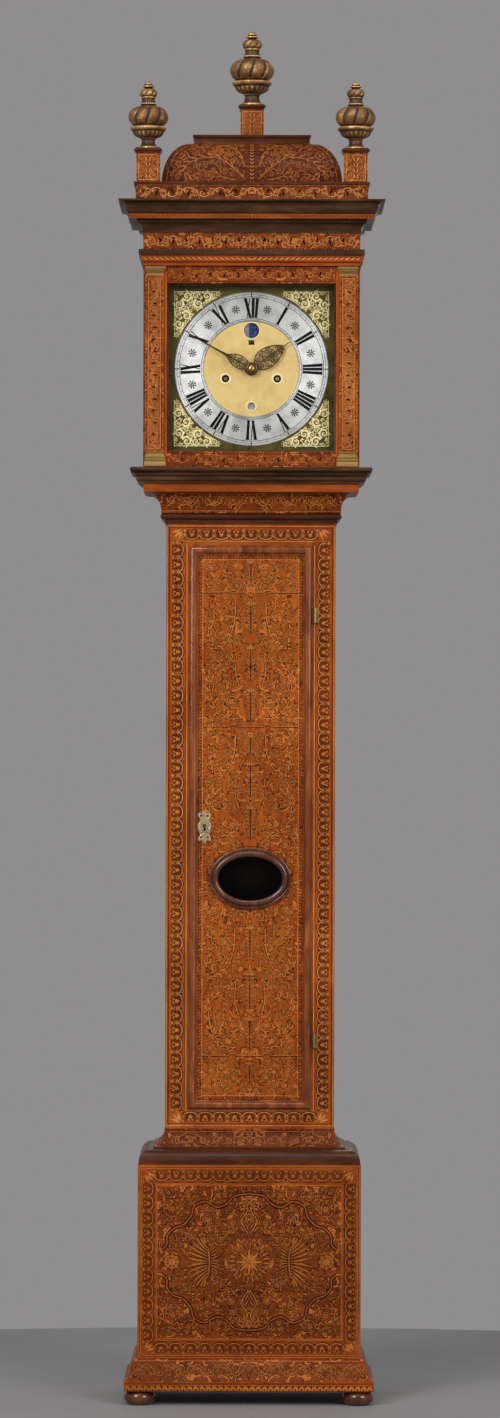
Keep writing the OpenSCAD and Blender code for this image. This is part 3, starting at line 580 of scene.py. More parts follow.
class Inlay:
    """Draws strings, scrolls and leaves on a surface, each a thin closed sliver of its own.

    place(u, v, h) puts a drawn point on the surface at height h over it. Each stroke is repeated once for
    every function in mirrors, which takes (u, v) to the mirrored place. section is the stroke's cross
    section, as (part of the half width, part of the height) from one foot to the other. weight scales
    every stroke's width, and rim is how much wider the dark shape under a leaf or tendril is."""

    FLAT = ((1, None), (1, 1), (-1, 1), (-1, None))
    ROUND = ((1, None), (0.94, 0.45), (0.6, 0.85), (0, 1), (-0.6, 0.85), (-0.94, 0.45), (-1, None))

    def __init__(self, place, mirrors=(straight,), lift=None, sunk=0.3, section=FLAT, weight=1.0, rim=1.5):
        self.pile = Pile()
        self.weight = weight
        self.rim = rim
        self.place = place
        self.mirrors = mirrors
        self.lift = lift or LIFT
        self.sunk = sunk
        self.section = section

    def using(self, *mirrors):
        """The same drawing with other mirrors, for what stands on an axis of the pattern."""
        twin = copy.copy(self)
        twin.mirrors = mirrors or (straight,)
        return twin

    def piece(self, name, body, finishes=INLAY_WOODS):
        self.pile.piece(name, body, finishes, "marquetry")

    def copies(self, path):
        for turn in self.mirrors:
            yield [turn(u, v) for u, v in path]

    def ribbon(self, path, widths, tone=PALE, closed=False):
        """A stroke along a path. widths is one number or one for each point."""
        if isinstance(widths, (int, float)):
            widths = [widths] * len(path)
        high = self.lift[tone]
        last = len(path) - 1
        for line in self.copies(path):
            rings = []
            for i, ((u, v), wide) in enumerate(zip(line, widths)):
                a = line[i - 1] if closed or i else line[0]
                b = line[(i + 1) % len(line)] if closed else line[min(i + 1, last)]
                run = hypot(b[0] - a[0], b[1] - a[1]) or 1.0
                reach = wide * self.weight / 2
                nu = -(b[1] - a[1]) / run * reach
                nv = (b[0] - a[0]) / run * reach
                rings.append([self.place(u + nu * k, v + nv * k, -self.sunk if t is None else high * t)
                              for k, t in self.section])
            strip(self.pile, rings, tone, closed)

    def cased(self, path, edge, wide, tone=PALE, closed=False):
        """A stroke with a wider dark one under it."""
        self.ribbon(path, edge, INK, closed)
        self.ribbon(path, wide, tone, closed)

    def loop(self, path, wide, tone=PALE):
        """A stroke round a closed path."""
        self.ribbon(path, wide, tone, closed=True)

    def frame(self, u0, u1, v0, v1, wide, tone=PALE):
        """A rectangular string whose limits are its outer edges, mitred at its corners."""
        high = self.lift[tone]
        for line in self.copies([(u0, v0), (u1, v0), (u1, v1), (u0, v1)]):
            mid_u = sum(u for u, v in line) / 4
            mid_v = sum(v for u, v in line) / 4
            rings = []
            for u, v in line:
                iu = u + (wide if u < mid_u else -wide)
                iv = v + (wide if v < mid_v else -wide)
                rings.append([self.place(u, v, -self.sunk), self.place(u, v, high),
                              self.place(iu, iv, high), self.place(iu, iv, -self.sunk)])
            strip(self.pile, rings, tone, closed=True)

    def patch(self, outline, tone=PALE, cap=0.0):
        """A filled shape."""
        high = self.lift[tone] + cap
        for line in self.copies(outline):
            count = len(line)
            points = [self.place(u, v, h) for h in (-self.sunk, high) for u, v in line]
            faces = [tuple(range(count)), tuple(count + j for j in reversed(range(count)))]
            faces += [(j, (j + 1) % count, count + (j + 1) % count, count + j) for j in range(count)]
            self.pile.add(points, faces, tone)

    def leaf(self, u, v, angle, length, wide, bend=0.0, tone=PALE, steps=4, shade=False):
        """A pointed leaf from (u, v), turning by bend over its length. shade lays a dark one under it."""
        path = []
        heading = angle
        for i in range(steps + 1):
            path.append((u, v))
            u += cos(heading) * length / steps
            v += sin(heading) * length / steps
            heading += bend / steps
        widths = [max(wide * sin(pi * (0.06 + 0.94 * i / steps)) ** 0.8, 0.08) for i in range(steps + 1)]
        if shade:
            self.ribbon(path, [w + self.rim for w in widths], INK)
        self.ribbon(path, widths, tone)

    def flower(self, u, v, radius, petals=5, turn=0.0, tone=PALE):
        """Petals that leave a small eye open in the middle."""
        for k in range(petals):
            angle = turn + 2 * pi * k / petals
            start = 0.22 * radius
            self.leaf(u + cos(angle) * start, v + sin(angle) * start, angle, radius * 0.86, radius * 0.62,
                      tone=tone, steps=3)

    def scroll(self, u, v, radius, start, way, rng, tone=PALE, turns=1.45, leaves=7, outline=True):
        """A tendril winding into a flower, with leaves springing from its outer turn."""
        if radius < 4.4:
            for k in range(3):
                lean = start + k * 2.1
                self.leaf(u - 0.3 * radius * cos(lean), v - 0.3 * radius * sin(lean), lean, radius * 1.1,
                          max(radius * 0.3, 0.9), bend=way * 0.9, tone=tone, steps=3, shade=outline)
            return
        steps = int(10 + 6 * turns)
        path = []
        widths = []
        for i in range(steps + 1):
            t = i / steps
            r = radius * (0.97 - 0.74 * t ** 0.82)
            angle = start + way * 2 * pi * turns * t
            path.append((u + r * cos(angle), v + r * sin(angle)))
            widths.append(max(min(radius * 0.17, 2.5) * (1 - 0.5 * t), 1.0))
        if outline:
            self.ribbon(path, [w + self.rim + 0.2 for w in widths], INK)
        self.ribbon(path, widths, tone)
        for k in range(leaves):
            t = (k + 0.35) / (leaves + 0.6) * 0.62
            r = radius * (0.97 - 0.74 * t ** 0.82)
            angle = start + way * 2 * pi * turns * t
            along = angle + way * pi / 2
            outward = k % 2 == 0
            lean = along - way * (0.75 if outward else -0.85) + rng.uniform(-0.15, 0.15)
            size = radius * (0.5 if outward else 0.4) * rng.uniform(0.85, 1.15)
            self.leaf(u + r * cos(angle), v + r * sin(angle), lean, size, max(size * 0.42, 1.3),
                      bend=way * (0.9 if outward else -0.7), tone=tone, shade=outline)
        if radius > 7:
            self.flower(u, v, radius * 0.26, 5, start, tone)
        else:
            self.leaf(u + 0.2 * radius, v, start + pi, radius * 0.4, radius * 0.25, tone=tone, steps=3)


def packed(rng, room, box, largest, smallest, tries=420, shrink=0.86):
    """Circles that just touch, largest first, wherever room(u, v) is the free distance round a point."""
    found = []
    size = largest
    while size >= smallest:
        for _ in range(tries):
            u = rng.uniform(box[0], box[1])
            v = rng.uniform(box[2], box[3])
            free = room(u, v)
            if free < size:
                continue
            for cu, cv, cr in found:
                free = min(free, hypot(u - cu, v - cv) - cr)
                if free < size:
                    break
            if free >= size:
                found.append((u, v, min(free, size * 1.12)))
        size *= shrink
    return found


def scrollwork(art, rng, room, box, largest, smallest, tone=PALE, outline=True, leaves=7):
    """Fills a region with scrolls of many sizes that wind against their neighbours."""
    for u, v, r in packed(rng, room, box, largest, smallest):
        way = 1 if rng.random() < 0.5 else -1
        art.scroll(u, v, r * 1.02, rng.uniform(0, 2 * pi), way, rng, tone,
                   turns=rng.uniform(1.25, 1.65), leaves=leaves if r > 8 else max(leaves - 2, 3),
                   outline=outline)


def rectangle_room(u0, u1, v0, v1):
    """The free distance to the nearest edge of a rectangle."""
    return lambda u, v: min(u - u0, u1 - u, v - v0, v1 - v)


def arcade(art, a, b, inward, depth):
    """A run of arches from a to b that bulge inward, each round a hanging bud, with buds between them too."""
    length = hypot(b[0] - a[0], b[1] - a[1])
    count = max(1, round(length / ARCH_SPAN))
    span = length / count
    du = ((b[0] - a[0]) / length, (b[1] - a[1]) / length)

    def at(s, t):
        return (a[0] + du[0] * s + inward[0] * t, a[1] + du[1] * s + inward[1] * t)

    heading = atan2(inward[1], inward[0])
    for i in range(count):
        mid = span * (i + 0.5)
        half = span * 0.5
        bow = [(mid - half * cos(pi * k / 10), depth * (0.38 + 0.55 * sin(pi * k / 10) ** 0.7))
               for k in range(11)]
        art.patch([at(mid - half * 0.62, depth * 0.08)]
                  + [at(mid + (s - mid) * 0.92, t * 0.94) for s, t in bow]
                  + [at(mid + half * 0.62, depth * 0.08)], BROWN)
        art.ribbon([at(s, t + 0.3) for s, t in bow], 3.8, INK)
        art.ribbon([at(s, t - 0.2) for s, t in bow], 1.6, PALE)
        art.ribbon([at(mid, depth * 0.04), at(mid, depth * 0.4)], 1.2, AMBER)
        art.leaf(*at(mid, depth * 0.24), heading, depth * 0.48, span * 0.25, tone=AMBER)
        for way in (-1, 1):
            art.leaf(*at(mid, depth * 0.34), heading + way * 1.9, span * 0.27, span * 0.12, bend=way * 0.9,
                     tone=AMBER)
    for i in range(count + 1):
        for way in (-1, 1):
            art.ribbon([at(span * (i + way * 0.16), depth * 0.6), at(span * (i - way * 0.02), depth * 0.36),
                        at(span * (i - way * 0.15), depth * 0.14)], 1.3, AMBER)
        art.leaf(*at(span * i, depth * 0.46), heading + pi, depth * 0.46, span * 0.3, tone=AMBER, shade=True)
        art.leaf(*at(span * i, depth * 0.96), heading + pi, depth * 0.3, span * 0.14, tone=BROWN)


def string_dashes(art, a, b, wide, dash, tone=INK, slant=0.0):
    """Short dashes set across a line, as in a cut string."""
    length = hypot(b[0] - a[0], b[1] - a[1])
    count = max(2, round(length / dash))
    du = ((b[0] - a[0]) / length, (b[1] - a[1]) / length)
    for i in range(count):
        s = length * (i + 0.5) / count
        u = a[0] + du[0] * s
        v = a[1] + du[1] * s
        ou = -du[1] * wide / 2 + du[0] * slant
        ov = du[0] * wide / 2 + du[1] * slant
        art.ribbon([(u - ou, v - ov), (u + ou, v + ov)], dash * 0.42, tone)


class Profile:
    """Lets a drawing follow a moulding's outline: v is the length along it from its lower end."""

    def __init__(self, outline):
        self.outline = outline
        self.starts = [0.0]
        for a, b in zip(outline, outline[1:]):
            self.starts.append(self.starts[-1] + hypot(b[0] - a[0], b[1] - a[1]))
        self.length = self.starts[-1]

    def at(self, v, h):
        i = 0
        while i < len(self.outline) - 2 and v > self.starts[i + 1]:
            i += 1
        a = self.outline[i]
        b = self.outline[i + 1]
        run = self.starts[i + 1] - self.starts[i] or 1.0
        t = (v - self.starts[i]) / run
        du = (b[0] - a[0]) / run
        dv = (b[1] - a[1]) / run
        return a[0] + du * t * run + dv * h, a[1] + dv * t * run - du * h

    def front(self, face):
        """Places a drawing on the moulding across the front of a box."""
        def place(u, v, h):
            p, z = self.at(v, h)
            return u, face - p, z
        return place

    def side(self, face, way):
        """Places a drawing on the moulding along a side of a box."""
        def place(u, v, h):
            p, z = self.at(v, h)
            return way * (face + p), u, z
        return place


def smooth_path(points, per=8):
    """A curve through points, by Catmull and Rom's rule."""
    ends = [points[0]] + list(points) + [points[-1]]
    out = []
    for a, b, c, d in zip(ends, ends[1:], ends[2:], ends[3:]):
        for i in range(per):
            t = i / per
            out.append(tuple(0.5 * (2 * b[k] + (c[k] - a[k]) * t
                                    + (2 * a[k] - 5 * b[k] + 4 * c[k] - d[k]) * t * t
                                    + (3 * b[k] - a[k] - 3 * c[k] + d[k]) * t ** 3) for k in (0, 1)))
    return out + [points[-1]]


def away_from(line):
    """The distance from a point to a path."""
    def distance(u, v):
        best = 1e9
        for (au, av), (bu, bv) in zip(line, line[1:]):
            du, dv = bu - au, bv - av
            t = max(0.0, min(1.0, ((u - au) * du + (v - av) * dv) / (du * du + dv * dv or 1.0)))
            best = min(best, hypot(u - au - du * t, v - av - dv * t))
        return best
    return distance


def rinceau(art, start, end, low, high, bay, rng, tone=PALE, upright=False):
    """A running scroll: a waving stem from start to end with a tendril curled into each bay."""
    middle = (low + high) / 2
    radius = (high - low) / 2
    count = max(1, round((end - start) / bay))
    step = (end - start) / count

    def swap(u, v):
        return (v, u) if upright else (u, v)

    wave = []
    for i in range(count * 8 + 1):
        u = start + step * i / 8
        wave.append(swap(u, middle + radius * 0.72 * cos(pi * i / 8)))
    art.cased(wave, max(radius * 0.12, 1.0) + art.rim + 0.4, max(radius * 0.14, 1.1), tone)
    for i in range(count):
        way = 1 if i % 2 else -1
        u = start + step * (i + 0.5)
        way_drawn = -way if upright else way
        begin = -pi / 2 if upright else pi
        art.scroll(*swap(u, middle + way * radius * 0.06), radius * 0.8, begin, way_drawn, rng, tone,
                   turns=1.2, leaves=6)
        for side in (-1, 1):
            root = swap(u + side * step * 0.5, middle - side * way * radius * 0.55)
            lean = (pi / 2 if side * way > 0 else -pi / 2) if not upright else (0 if side * way > 0 else pi)
            art.leaf(*root, lean, radius * 0.8, radius * 0.22, bend=0.8 * way * side, tone=tone, shade=True)


def ring_path(cu, cv, ru, rv=None, count=48):
    """Points round a circle, or an ellipse where rv is given."""
    rv = ru if rv is None else rv
    return [(cu + ru * cos(2 * pi * i / count), cv + rv * sin(2 * pi * i / count)) for i in range(count)]


def turned(pile, outline, x, z, y, count=48, mark=0, closed=False):
    """Turns an outline of (radius, distance forward of y) about an axis along Y."""
    rings = [[(x + r * cos(2 * pi * i / count), y - f, z + r * sin(2 * pi * i / count)) for i in range(count)]
             for r, f in outline]
    strip(pile, rings, mark, closed)


def cut_sheet(pile, outlines, y, thick, mark=0):
    """A flat sheet, its front at y, with holes where one outline lies inside another."""
    curve = bpy.data.curves.new("cut", "CURVE")
    curve.dimensions = "2D"
    curve.fill_mode = "BOTH"
    curve.extrude = thick / 2
    for outline in outlines:
        spline = curve.splines.new("POLY")
        spline.points.add(len(outline) - 1)
        for point, (u, v) in zip(spline.points, outline):
            point.co = (u, v, 0, 1)
        spline.use_cyclic_u = True
    holder = bpy.data.objects.new("cut", curve)
    bpy.context.scene.collection.objects.link(holder)
    mesh = bpy.data.meshes.new_from_object(holder.evaluated_get(bpy.context.evaluated_depsgraph_get()))
    shape = bmesh.new()
    shape.from_mesh(mesh)
    bmesh.ops.remove_doubles(shape, verts=shape.verts, dist=1e-4)
    shape.verts.ensure_lookup_table()
    pile.add([(p.co.x, y + thick / 2 - p.co.z, p.co.y) for p in shape.verts],
             [tuple(p.index for p in face.verts) for face in shape.faces], mark)
    shape.free()
    bpy.data.objects.remove(holder)
    bpy.data.curves.remove(curve)
    bpy.data.meshes.remove(mesh)


# ---------------------------------------------------------------- case

def carcase():
    """The trunk and base boards, each with its own grain, and the feet."""
    front = Pile()
    door_half = 98
    side_inner = 139.5
    thick = 12
    back = TRUNK_FRONT + 18
    for way in (-1, 1):
        board(front, sorted((way * door_half, way * TRUNK_HALF)), (TRUNK_FRONT, back), TRUNK_Z, 0.8)
    for low, high in ((TRUNK_Z[0], door_low[2] - 1.5), (door_high[2] + 1.5, TRUNK_Z[1])):
        board(front, (-door_half, door_half), (TRUNK_FRONT, back), (low, high), 0.2, 1)
    front.piece("trunk_front_boards", "case", ["ground_orange", "ground_orange_x"], "marquetry",
                ["trunk_front"])
    base = Pile()
    inner = BASE_HALF - thick
    depth = (BASE_FRONT + thick, BACK)
    board(base, (-BASE_HALF, BASE_HALF), (BASE_FRONT, depth[0]), BASE_Z, 1.0, 0)
    for way in (-1, 1):
        board(base, sorted((way * inner, way * BASE_HALF)), depth, BASE_Z, 0.8, 1)
    board(base, (-inner, inner), depth, (40, 52), 0.6, 2)
    base.piece("base_box", "case", ["ground_orange_x", "burr", "oak"], "marquetry",
               ["base_boards"])
    sides = Pile()
    for way in (-1, 1):
        side = sorted((way * side_inner, way * TRUNK_HALF))
        board(sides, side, (back, BACK), TRUNK_Z, 0.8)
        board(sides, side, (-10, BACK - thick), (TRUNK_Z[1], SEAT_FOOT), 0.6, 1)
    sides.piece("trunk_side_boards", "case", ["burr", "oak"], "marquetry", ["trunk_sides"])
    feet = Pile()
    top = BASE_Z[0]
    outline = [(0.5, 0)] + eased(arc(13, 13.4, 15.3, 13.4, -90, 66, 24), 0.4) + [(17, top), (0.5, top)]
    for x in (-195, 195):
        for y in (-87, BACK - 28.3):
            lathe(feet, outline, (x, y), 0, 72)
    feet.piece("turned_feet", "case", ["turned_walnut"], "walnut", ["bun_feet"])


THROAT = ([(3.5, 1574.7), (3.5, 1581.5)] + arc(6, 1587, 5, 5, -90, 90)
          + arc(30.5, 1593, 21.25, 36, 180, 90, 24) + [(32, 1629), (41, 1630), (41, 1646)])
WAIST = ([(46.5, 428)] + arc(24, 432, 22.5, 22, 0, 90, 24) + [(20, 454), (20, 457.6)]
         + arc(17.5, 486, 16.5, 28.4, 270, 180, 24) + [(1, 489)])
PLINTH = ([(23.8, 26), (23.8, 43)] + arc(21, 82, 9, 38, 270, 225, 8)
          + arc(3, 43.5, 11, 38, 40, 80, 10) + [(3, 82)])
HOOD_BASE = ([(6.2, 1646), (6.2, 1649)] + arc(8, 1653, 4, 4, -90, 60, 14) + [(12.5, 1659)]
             + arc(22, 1659, 8, 6, 180, 90, 12) + arc(18.7, 1669.5, 4, 4, -90, 90, 16))
FRIEZE = [(0, 2034), (0, 2040), (3.9, 2040.4), (3.9, 2052.4), (8, 2053), (8, 2062.6), (0, 2063.3),
          (0, 2092.9)]
CORNICE = ([(1.5, 2092.9)] + arc(11.7, 2092.9, 10.2, 17, 180, 90, 16)
           + [(11.7, 2115.8), (24.7, 2115.8), (24.7, 2124.6)] + arc(25, 2137, 6, 12, -90, 0, 12)
           + arc(43.7, 2137, 12.7, 9, 180, 90, 12) + [(43.7, 2149.5)])


def mouldings():
    """The mouldings that run round the front and sides, mitred at the corners."""
    trunk = (-TRUNK_HALF, TRUNK_HALF)
    base = (-BASE_HALF, BASE_HALF)
    hood = (-HOOD_HALF, HOOD_HALF)
    woods = ["dark_seaweed", "walnut", "olive", "ground_orange_x", "seaweed"]
    dark, walnut, olive, orange, seaweed = range(5)

    def by_height(bands):
        """From a height to the mark of the first band whose top is over it."""
        return lambda z: next(mark for top, mark in bands if z < top)

    # Name, outline, box, the box's front, slot, CAD node, and the woods as (top of the band, mark)
    on_case = (
        ("throat_run", THROAT, trunk, TRUNK_FRONT, "marquetry", "throat_moulding",
         ((1592.5, walnut), (1629.6, seaweed), (inf, orange))),
        ("waist_run", WAIST, trunk, TRUNK_FRONT, "walnut", "waist_moulding", ((457, walnut), (inf, dark))),
        ("plinth_run", PLINTH, base, BASE_FRONT, "marquetry", "plinth_moulding",
         ((43, orange), (inf, seaweed))),
    )
    on_hood = (
        ("hood_base_run", HOOD_BASE, hood, HOOD_FRONT, "ebonised_wood", "hood_base_moulding",
         ((inf, olive),)),
        ("frieze_run", FRIEZE, hood, HOOD_FRONT, "marquetry", "frieze",
         ((2052.8, orange), (2063, olive), (inf, seaweed))),
        ("cornice_run", CORNICE, hood, HOOD_FRONT, "ebonised_wood", "cornice",
         ((2116.4, olive), (2124, orange), (inf, olive))),
    )
    for body, depth, runs in (("case", 0, on_case), ("hood", 30, on_hood)):
        for name, outline, sides, face, slot, node, bands in runs:
            pile = Pile()
            surround(pile, eased(outline), sides, face, BACK, depth, by_height(bands))
            pile.piece(name, body, woods, slot, [node])


def edge_bands(art, u0, u1, v0, v1, depth):
    """The running border of arches inside three strings, with a spray of leaves in each corner."""
    for inset, wide, tone in ((0, 1.1, PALE), (1.1, 0.9, INK), (3.2, 0.8, PALE)):
        art.frame(u0 + inset, u1 - inset, v0 + inset, v1 - inset, wide, tone)
    gap = 5.5
    far = gap + depth
    corners = ((u0, v0, 1, 0, 0, 1), (u1, v0, 0, 1, -1, 0), (u1, v1, -1, 0, 0, -1), (u0, v1, 0, -1, 1, 0))
    for (au, av, du, dv, iu, iv), (bu, bv, *_) in zip(corners, corners[1:] + corners[:1]):
        a = (au + du * far + iu * gap, av + dv * far + iv * gap)
        b = (bu - du * far + iu * gap, bv - dv * far + iv * gap)
        arcade(art, a, b, (iu, iv), depth)
        corner = (au + (du + iu) * (gap + depth * 0.3), av + (dv + iv) * (gap + depth * 0.3))
        lean = atan2(dv + iv, du + iu)
        for turn in (-0.55, 0, 0.55):
            art.leaf(*corner, lean + turn, depth * 0.8, depth * 0.2, tone=PALE)


def trunk_border():
    """Arches and strings on the flat of the trunk round the door."""
    art = Inlay(flat(TRUNK_FRONT), MIRRORED)
    outer = TRUNK_HALF - 2.2
    inner = 114.5
    low, high = 491.5, 1573.0
    for u, wide, tone in ((outer, 1.3, PALE), (outer - 3.4, 0.9, INK), (inner, 1.3, PALE),
                          (inner + 2.6, 0.8, INK)):
        v0 = low + 2 if u > 130 else 522.0
        v1 = high - 2 if u > 130 else 1535.5
        art.ribbon([(u, v0), (u, v1)], wide, tone)
    arcade(art, (outer - 6.2, 522), (outer - 6.2, 1540), (-1, 0), 23.5)
    for v, way in ((low + 3, 1), (high - 3, -1)):
        art.ribbon([(0, v), (outer, v)], 1.3, PALE)
        art.ribbon([(0, v + way * 3), (outer - 3.4, v + way * 3)], 0.9, INK)
        arcade(art.using(), (30 - outer, v + way * 5), (outer - 30, v + way * 5), (0, way), 20.5)
        art.ribbon([(0, v + way * 27), (inner, v + way * 27)], 1.1, PALE)
        for turn in (0.3, pi / 4, 1.27):
            art.leaf(outer - 26, v + way * 6, way * turn, 20, 4.2)
    string_dashes(art, (outer - 1.7, low + 4), (outer - 1.7, high - 4), 2.2, 3.2, INK)
    art.piece("trunk_border_inlay", "case")


def base_panel():
    """The square panel of the base: the same quarter drawn four ways round its middle."""
    v0, v1 = 84.0, 425.0
    middle = (v0 + v1) / 2
    ground = Pile()
    field = (-BASE_HALF + 34, BASE_HALF - 34, v0 + 33, v1 - 33)
    board(ground, field[:2], (BASE_FRONT - 0.12, BASE_FRONT + 1), field[2:], 0.05)
    ground.piece("base_panel_ground", "case", ["seaweed"], "marquetry")
    border = Inlay(flat(BASE_FRONT))
    edge_bands(border, -BASE_HALF + 2, BASE_HALF - 2, v0, v1, 21.5)
    border.frame(-BASE_HALF + 29, BASE_HALF - 29, v0 + 28, v1 - 28, 0.9, INK)
    border.frame(*field, 0.9, PALE)
    border.piece("base_border_inlay", "case", DULL_WOODS)

    rng = random.Random(11)
    art = Inlay(flat(BASE_FRONT), four_ways(middle), lift={PALE: 0.34, AMBER: 0.28, INK: 0.2}, sunk=0.1,
                rim=2.3)
    half_u = BASE_HALF - 37
    half_v = (v1 - v0) / 2 - 36
    strap = smooth_path([(0, 122), (26, 118), (40, 104), (58, 98), (78, 108), (98, 100), (104, 82), (118, 66),
                         (134, 60), (146, 47), (147, 31), (155, 23)])
    art.cased([(u, v + middle) for u, v in strap], 6.8, 2.0, AMBER)
    near_strap = away_from(strap)
    edge = rectangle_room(0.6, half_u, 0.6, half_v)

    def room(u, v):
        w = v - middle
        return min(edge(u, w), near_strap(u, w) - 4.2, hypot(u, w) - 43,
                   (hypot((u - 90) / 33, w / 40) - 1) * 33, hypot(u - 138, w) - 16,
                   hypot(u * 1.5, w - 80) - 23)

    scrollwork(art, rng, room, (0, half_u, middle, middle + half_v), 17.0, 3.6, AMBER, leaves=7)
    # Rosette in the middle: a ring of leaves, a star and two squares set on their corners
    alone = art.using()
    for k in range(24):
        turn = k * pi / 12 + pi / 24
        alone.leaf(23 * cos(turn), middle + 23 * sin(turn), turn + 0.35, 17, 3.4, bend=-0.7, tone=AMBER,
                   shade=True)
    for k in range(16):
        turn = k * pi / 8
        long = 21 if k % 2 == 0 else 15
        alone.leaf(3 * cos(turn), middle + 3 * sin(turn), turn, long, 4.4, tone=AMBER if k % 2 else PALE,
                   shade=True)
    for size in (23, 41):
        corners = [(size, middle), (0, middle + size), (-size, middle), (0, middle - size)]
        alone.cased(corners, 2.4, 1.0, PALE, closed=True)
    # Fans to the left and right
    for k in range(7):
        lean = 0.08 + k * 0.17
        reach = 44 - 16 * (k / 6) ** 2
        for way, root in ((1, 74), (-1, 69)):
            art.leaf(root, middle + 1.6 + k * 4.4, lean if way > 0 else pi - lean,
                     reach if way > 0 else reach * 0.42, 4.0 if way > 0 else 2.6, bend=0.3 * way, tone=AMBER,
                     shade=True)
    sideways = art.using(*MIRRORED)
    bar = [(71 + 5 * (k / 5) ** 2, middle + 6.8 * k) for k in range(-5, 6)]
    sideways.cased(bar, 5.8, 2.6, AMBER)
    sideways.flower(138, middle, 14, 8, 0.0, AMBER)
    sideways.flower(138, middle, 6, 6, 0.3, PALE)
    sideways.loop(ring_path(138, middle, 15.5, 13.5, 24), 1.6, INK)
    # Lyres above and below
    for shift, tone, wide in ((0, INK, 4.6), (0, PALE, 1.8), (5.5, AMBER, 1.4)):
        art.ribbon([(u, v + middle) for u, v in smooth_path(
            [(2 + shift, 52), (9 + shift, 62), (13 + shift, 76), (5 + shift, 88), (3 + shift, 98),
             (10 + shift, 107), (17, 103), (15 + shift / 4, 97)])], wide, tone)
    for k in range(4):
        art.leaf(1.5, middle + 56 + 12 * k, 1.25 - 0.12 * k, 15 - 2 * k, 2.8, bend=-0.4, tone=AMBER,
                 shade=True)
    art.using(straight, upturned(middle)).flower(0, middle + 110, 8, 7, pi / 2, AMBER)
    art.piece("base_panel_inlay", "case", DULL_WOODS)


def moulding_inlays():
    """Running scrolls, lattices and cut strings on the mouldings."""
    rng = random.Random(5)
    throat = THROAT[THROAT.index((32, 1629)) - 25:THROAT.index((32, 1629))]
    waist = WAIST[-26:-1]
    pieces = (
        ("throat_inlay", throat, TRUNK_HALF + throat[0][0] - 2, 7, 21, INLAY_WOODS),
        ("waist_inlay", waist, TRUNK_HALF - 4, 5, 25, DULL_WOODS),
    )
    for name, outline, run, margin, bay, finishes in pieces:
        profile = Profile(outline)
        art = Inlay(profile.front(TRUNK_FRONT), MIRRORED)
        low, high = margin, profile.length - margin
        rinceau(art, 0, run - 8, low + 2, high - 2, bay, rng, AMBER)
        for v in (low - 3, high + 3):
            art.ribbon([(0, v), (run, v)], 1.1, AMBER)
            art.ribbon([(0, v + 1.4), (run, v + 1.4)], 1.0, INK)
        art.piece(name, "case", finishes)
        for way, side in SIDES:
            edge = Inlay(profile.side(TRUNK_HALF, way))
            for v in (low - 3, high + 3):
                edge.ribbon([(TRUNK_FRONT - 2, v), (BACK - 2, v)], 1.1, PALE)
            edge.piece(name + "_" + side, "case")

    # Plinth: scallops below a band of upright strokes, and faint scrolls on the slope
    lower = Inlay(flat(BASE_FRONT - 23.8), MIRRORED)
    end = BASE_HALF + 22
    lower.ribbon([(0, 27.2), (end, 27.2)], 0.9, INK)
    count = 20
    for i in range(count):
        u = end * (i + 0.5) / count
        half = end / count / 2
        lower.patch([(u + half * 0.86 * cos(a * pi / 8), 28 + 7.6 * sin(a * pi / 8)) for a in range(9)], PALE)
        lower.patch([(u + half * 0.3 - half * 0.3 * 2 * t, 28.2 + 3.4 * sin(pi * t))
                     for t in (0, 0.25, 0.5, 0.75, 1)],
                    INK, cap=0.14)
        lower.patch([(u - half * 0.98, 36.6), (u - half * 0.2, 36.6), (u - half * 0.98, 31)][::-1], INK)
    lower.ribbon([(0, 37.3), (end, 37.3)], 0.7, PALE)
    string_dashes(lower, (0.6, 39.9), (end, 39.9), 4.0, 3.6, INK)
    lower.piece("plinth_scallops", "case", DULL_WOODS)
    slope = Profile(PLINTH[2:-1])
    art = Inlay(slope.front(BASE_FRONT), MIRRORED)
    rinceau(art, 0, BASE_HALF + 6, 7, slope.length - 5, 24, rng, AMBER)
    art.ribbon([(0, slope.length - 3), (BASE_HALF + 2, slope.length - 3)], 0.9, PALE)
    art.piece("plinth_scrolls", "case", DULL_WOODS)

    # Hood: scroll frieze, the leaf band under it and the rope band of the cornice
    art = Inlay(flat(HOOD_FRONT), MIRRORED, weight=0.85, rim=0.9)
    rinceau(art, 0, HOOD_HALF - 6, 2066, 2090, 25, rng, PALE)
    for v in (2064.6, 2091.6):
        art.ribbon([(0, v), (HOOD_HALF - 3, v)], 0.8, INK)
    art.piece("frieze_scrolls", "hood")
    art = Inlay(flat(HOOD_FRONT - 3.9), MIRRORED)
    for i in range(20):
        u = (HOOD_HALF + 2) * (i + 0.5) / 20
        art.leaf(u - 4.2, 2044.4, 0.5, 9, 2.6, bend=-0.4, tone=PALE)
        art.leaf(u - 4.2, 2048.6, -0.5, 9, 2.2, bend=0.4, tone=INK)
    for v in (2041.4, 2051.3):
        art.ribbon([(0, v), (HOOD_HALF + 2, v)], 0.7, INK)
    art.piece("frieze_leaf_band", "hood")
    art = Inlay(flat(HOOD_FRONT - 24.7), MIRRORED)
    for i in range(46):
        u = (HOOD_HALF + 22) * (i + 0.4) / 46
        art.ribbon([(u, 2117.0), (u + 2.6, 2120.2), (u + 3.4, 2123.6)], [0.5, 1.7, 0.5], INK)
    art.piece("cornice_rope", "hood")


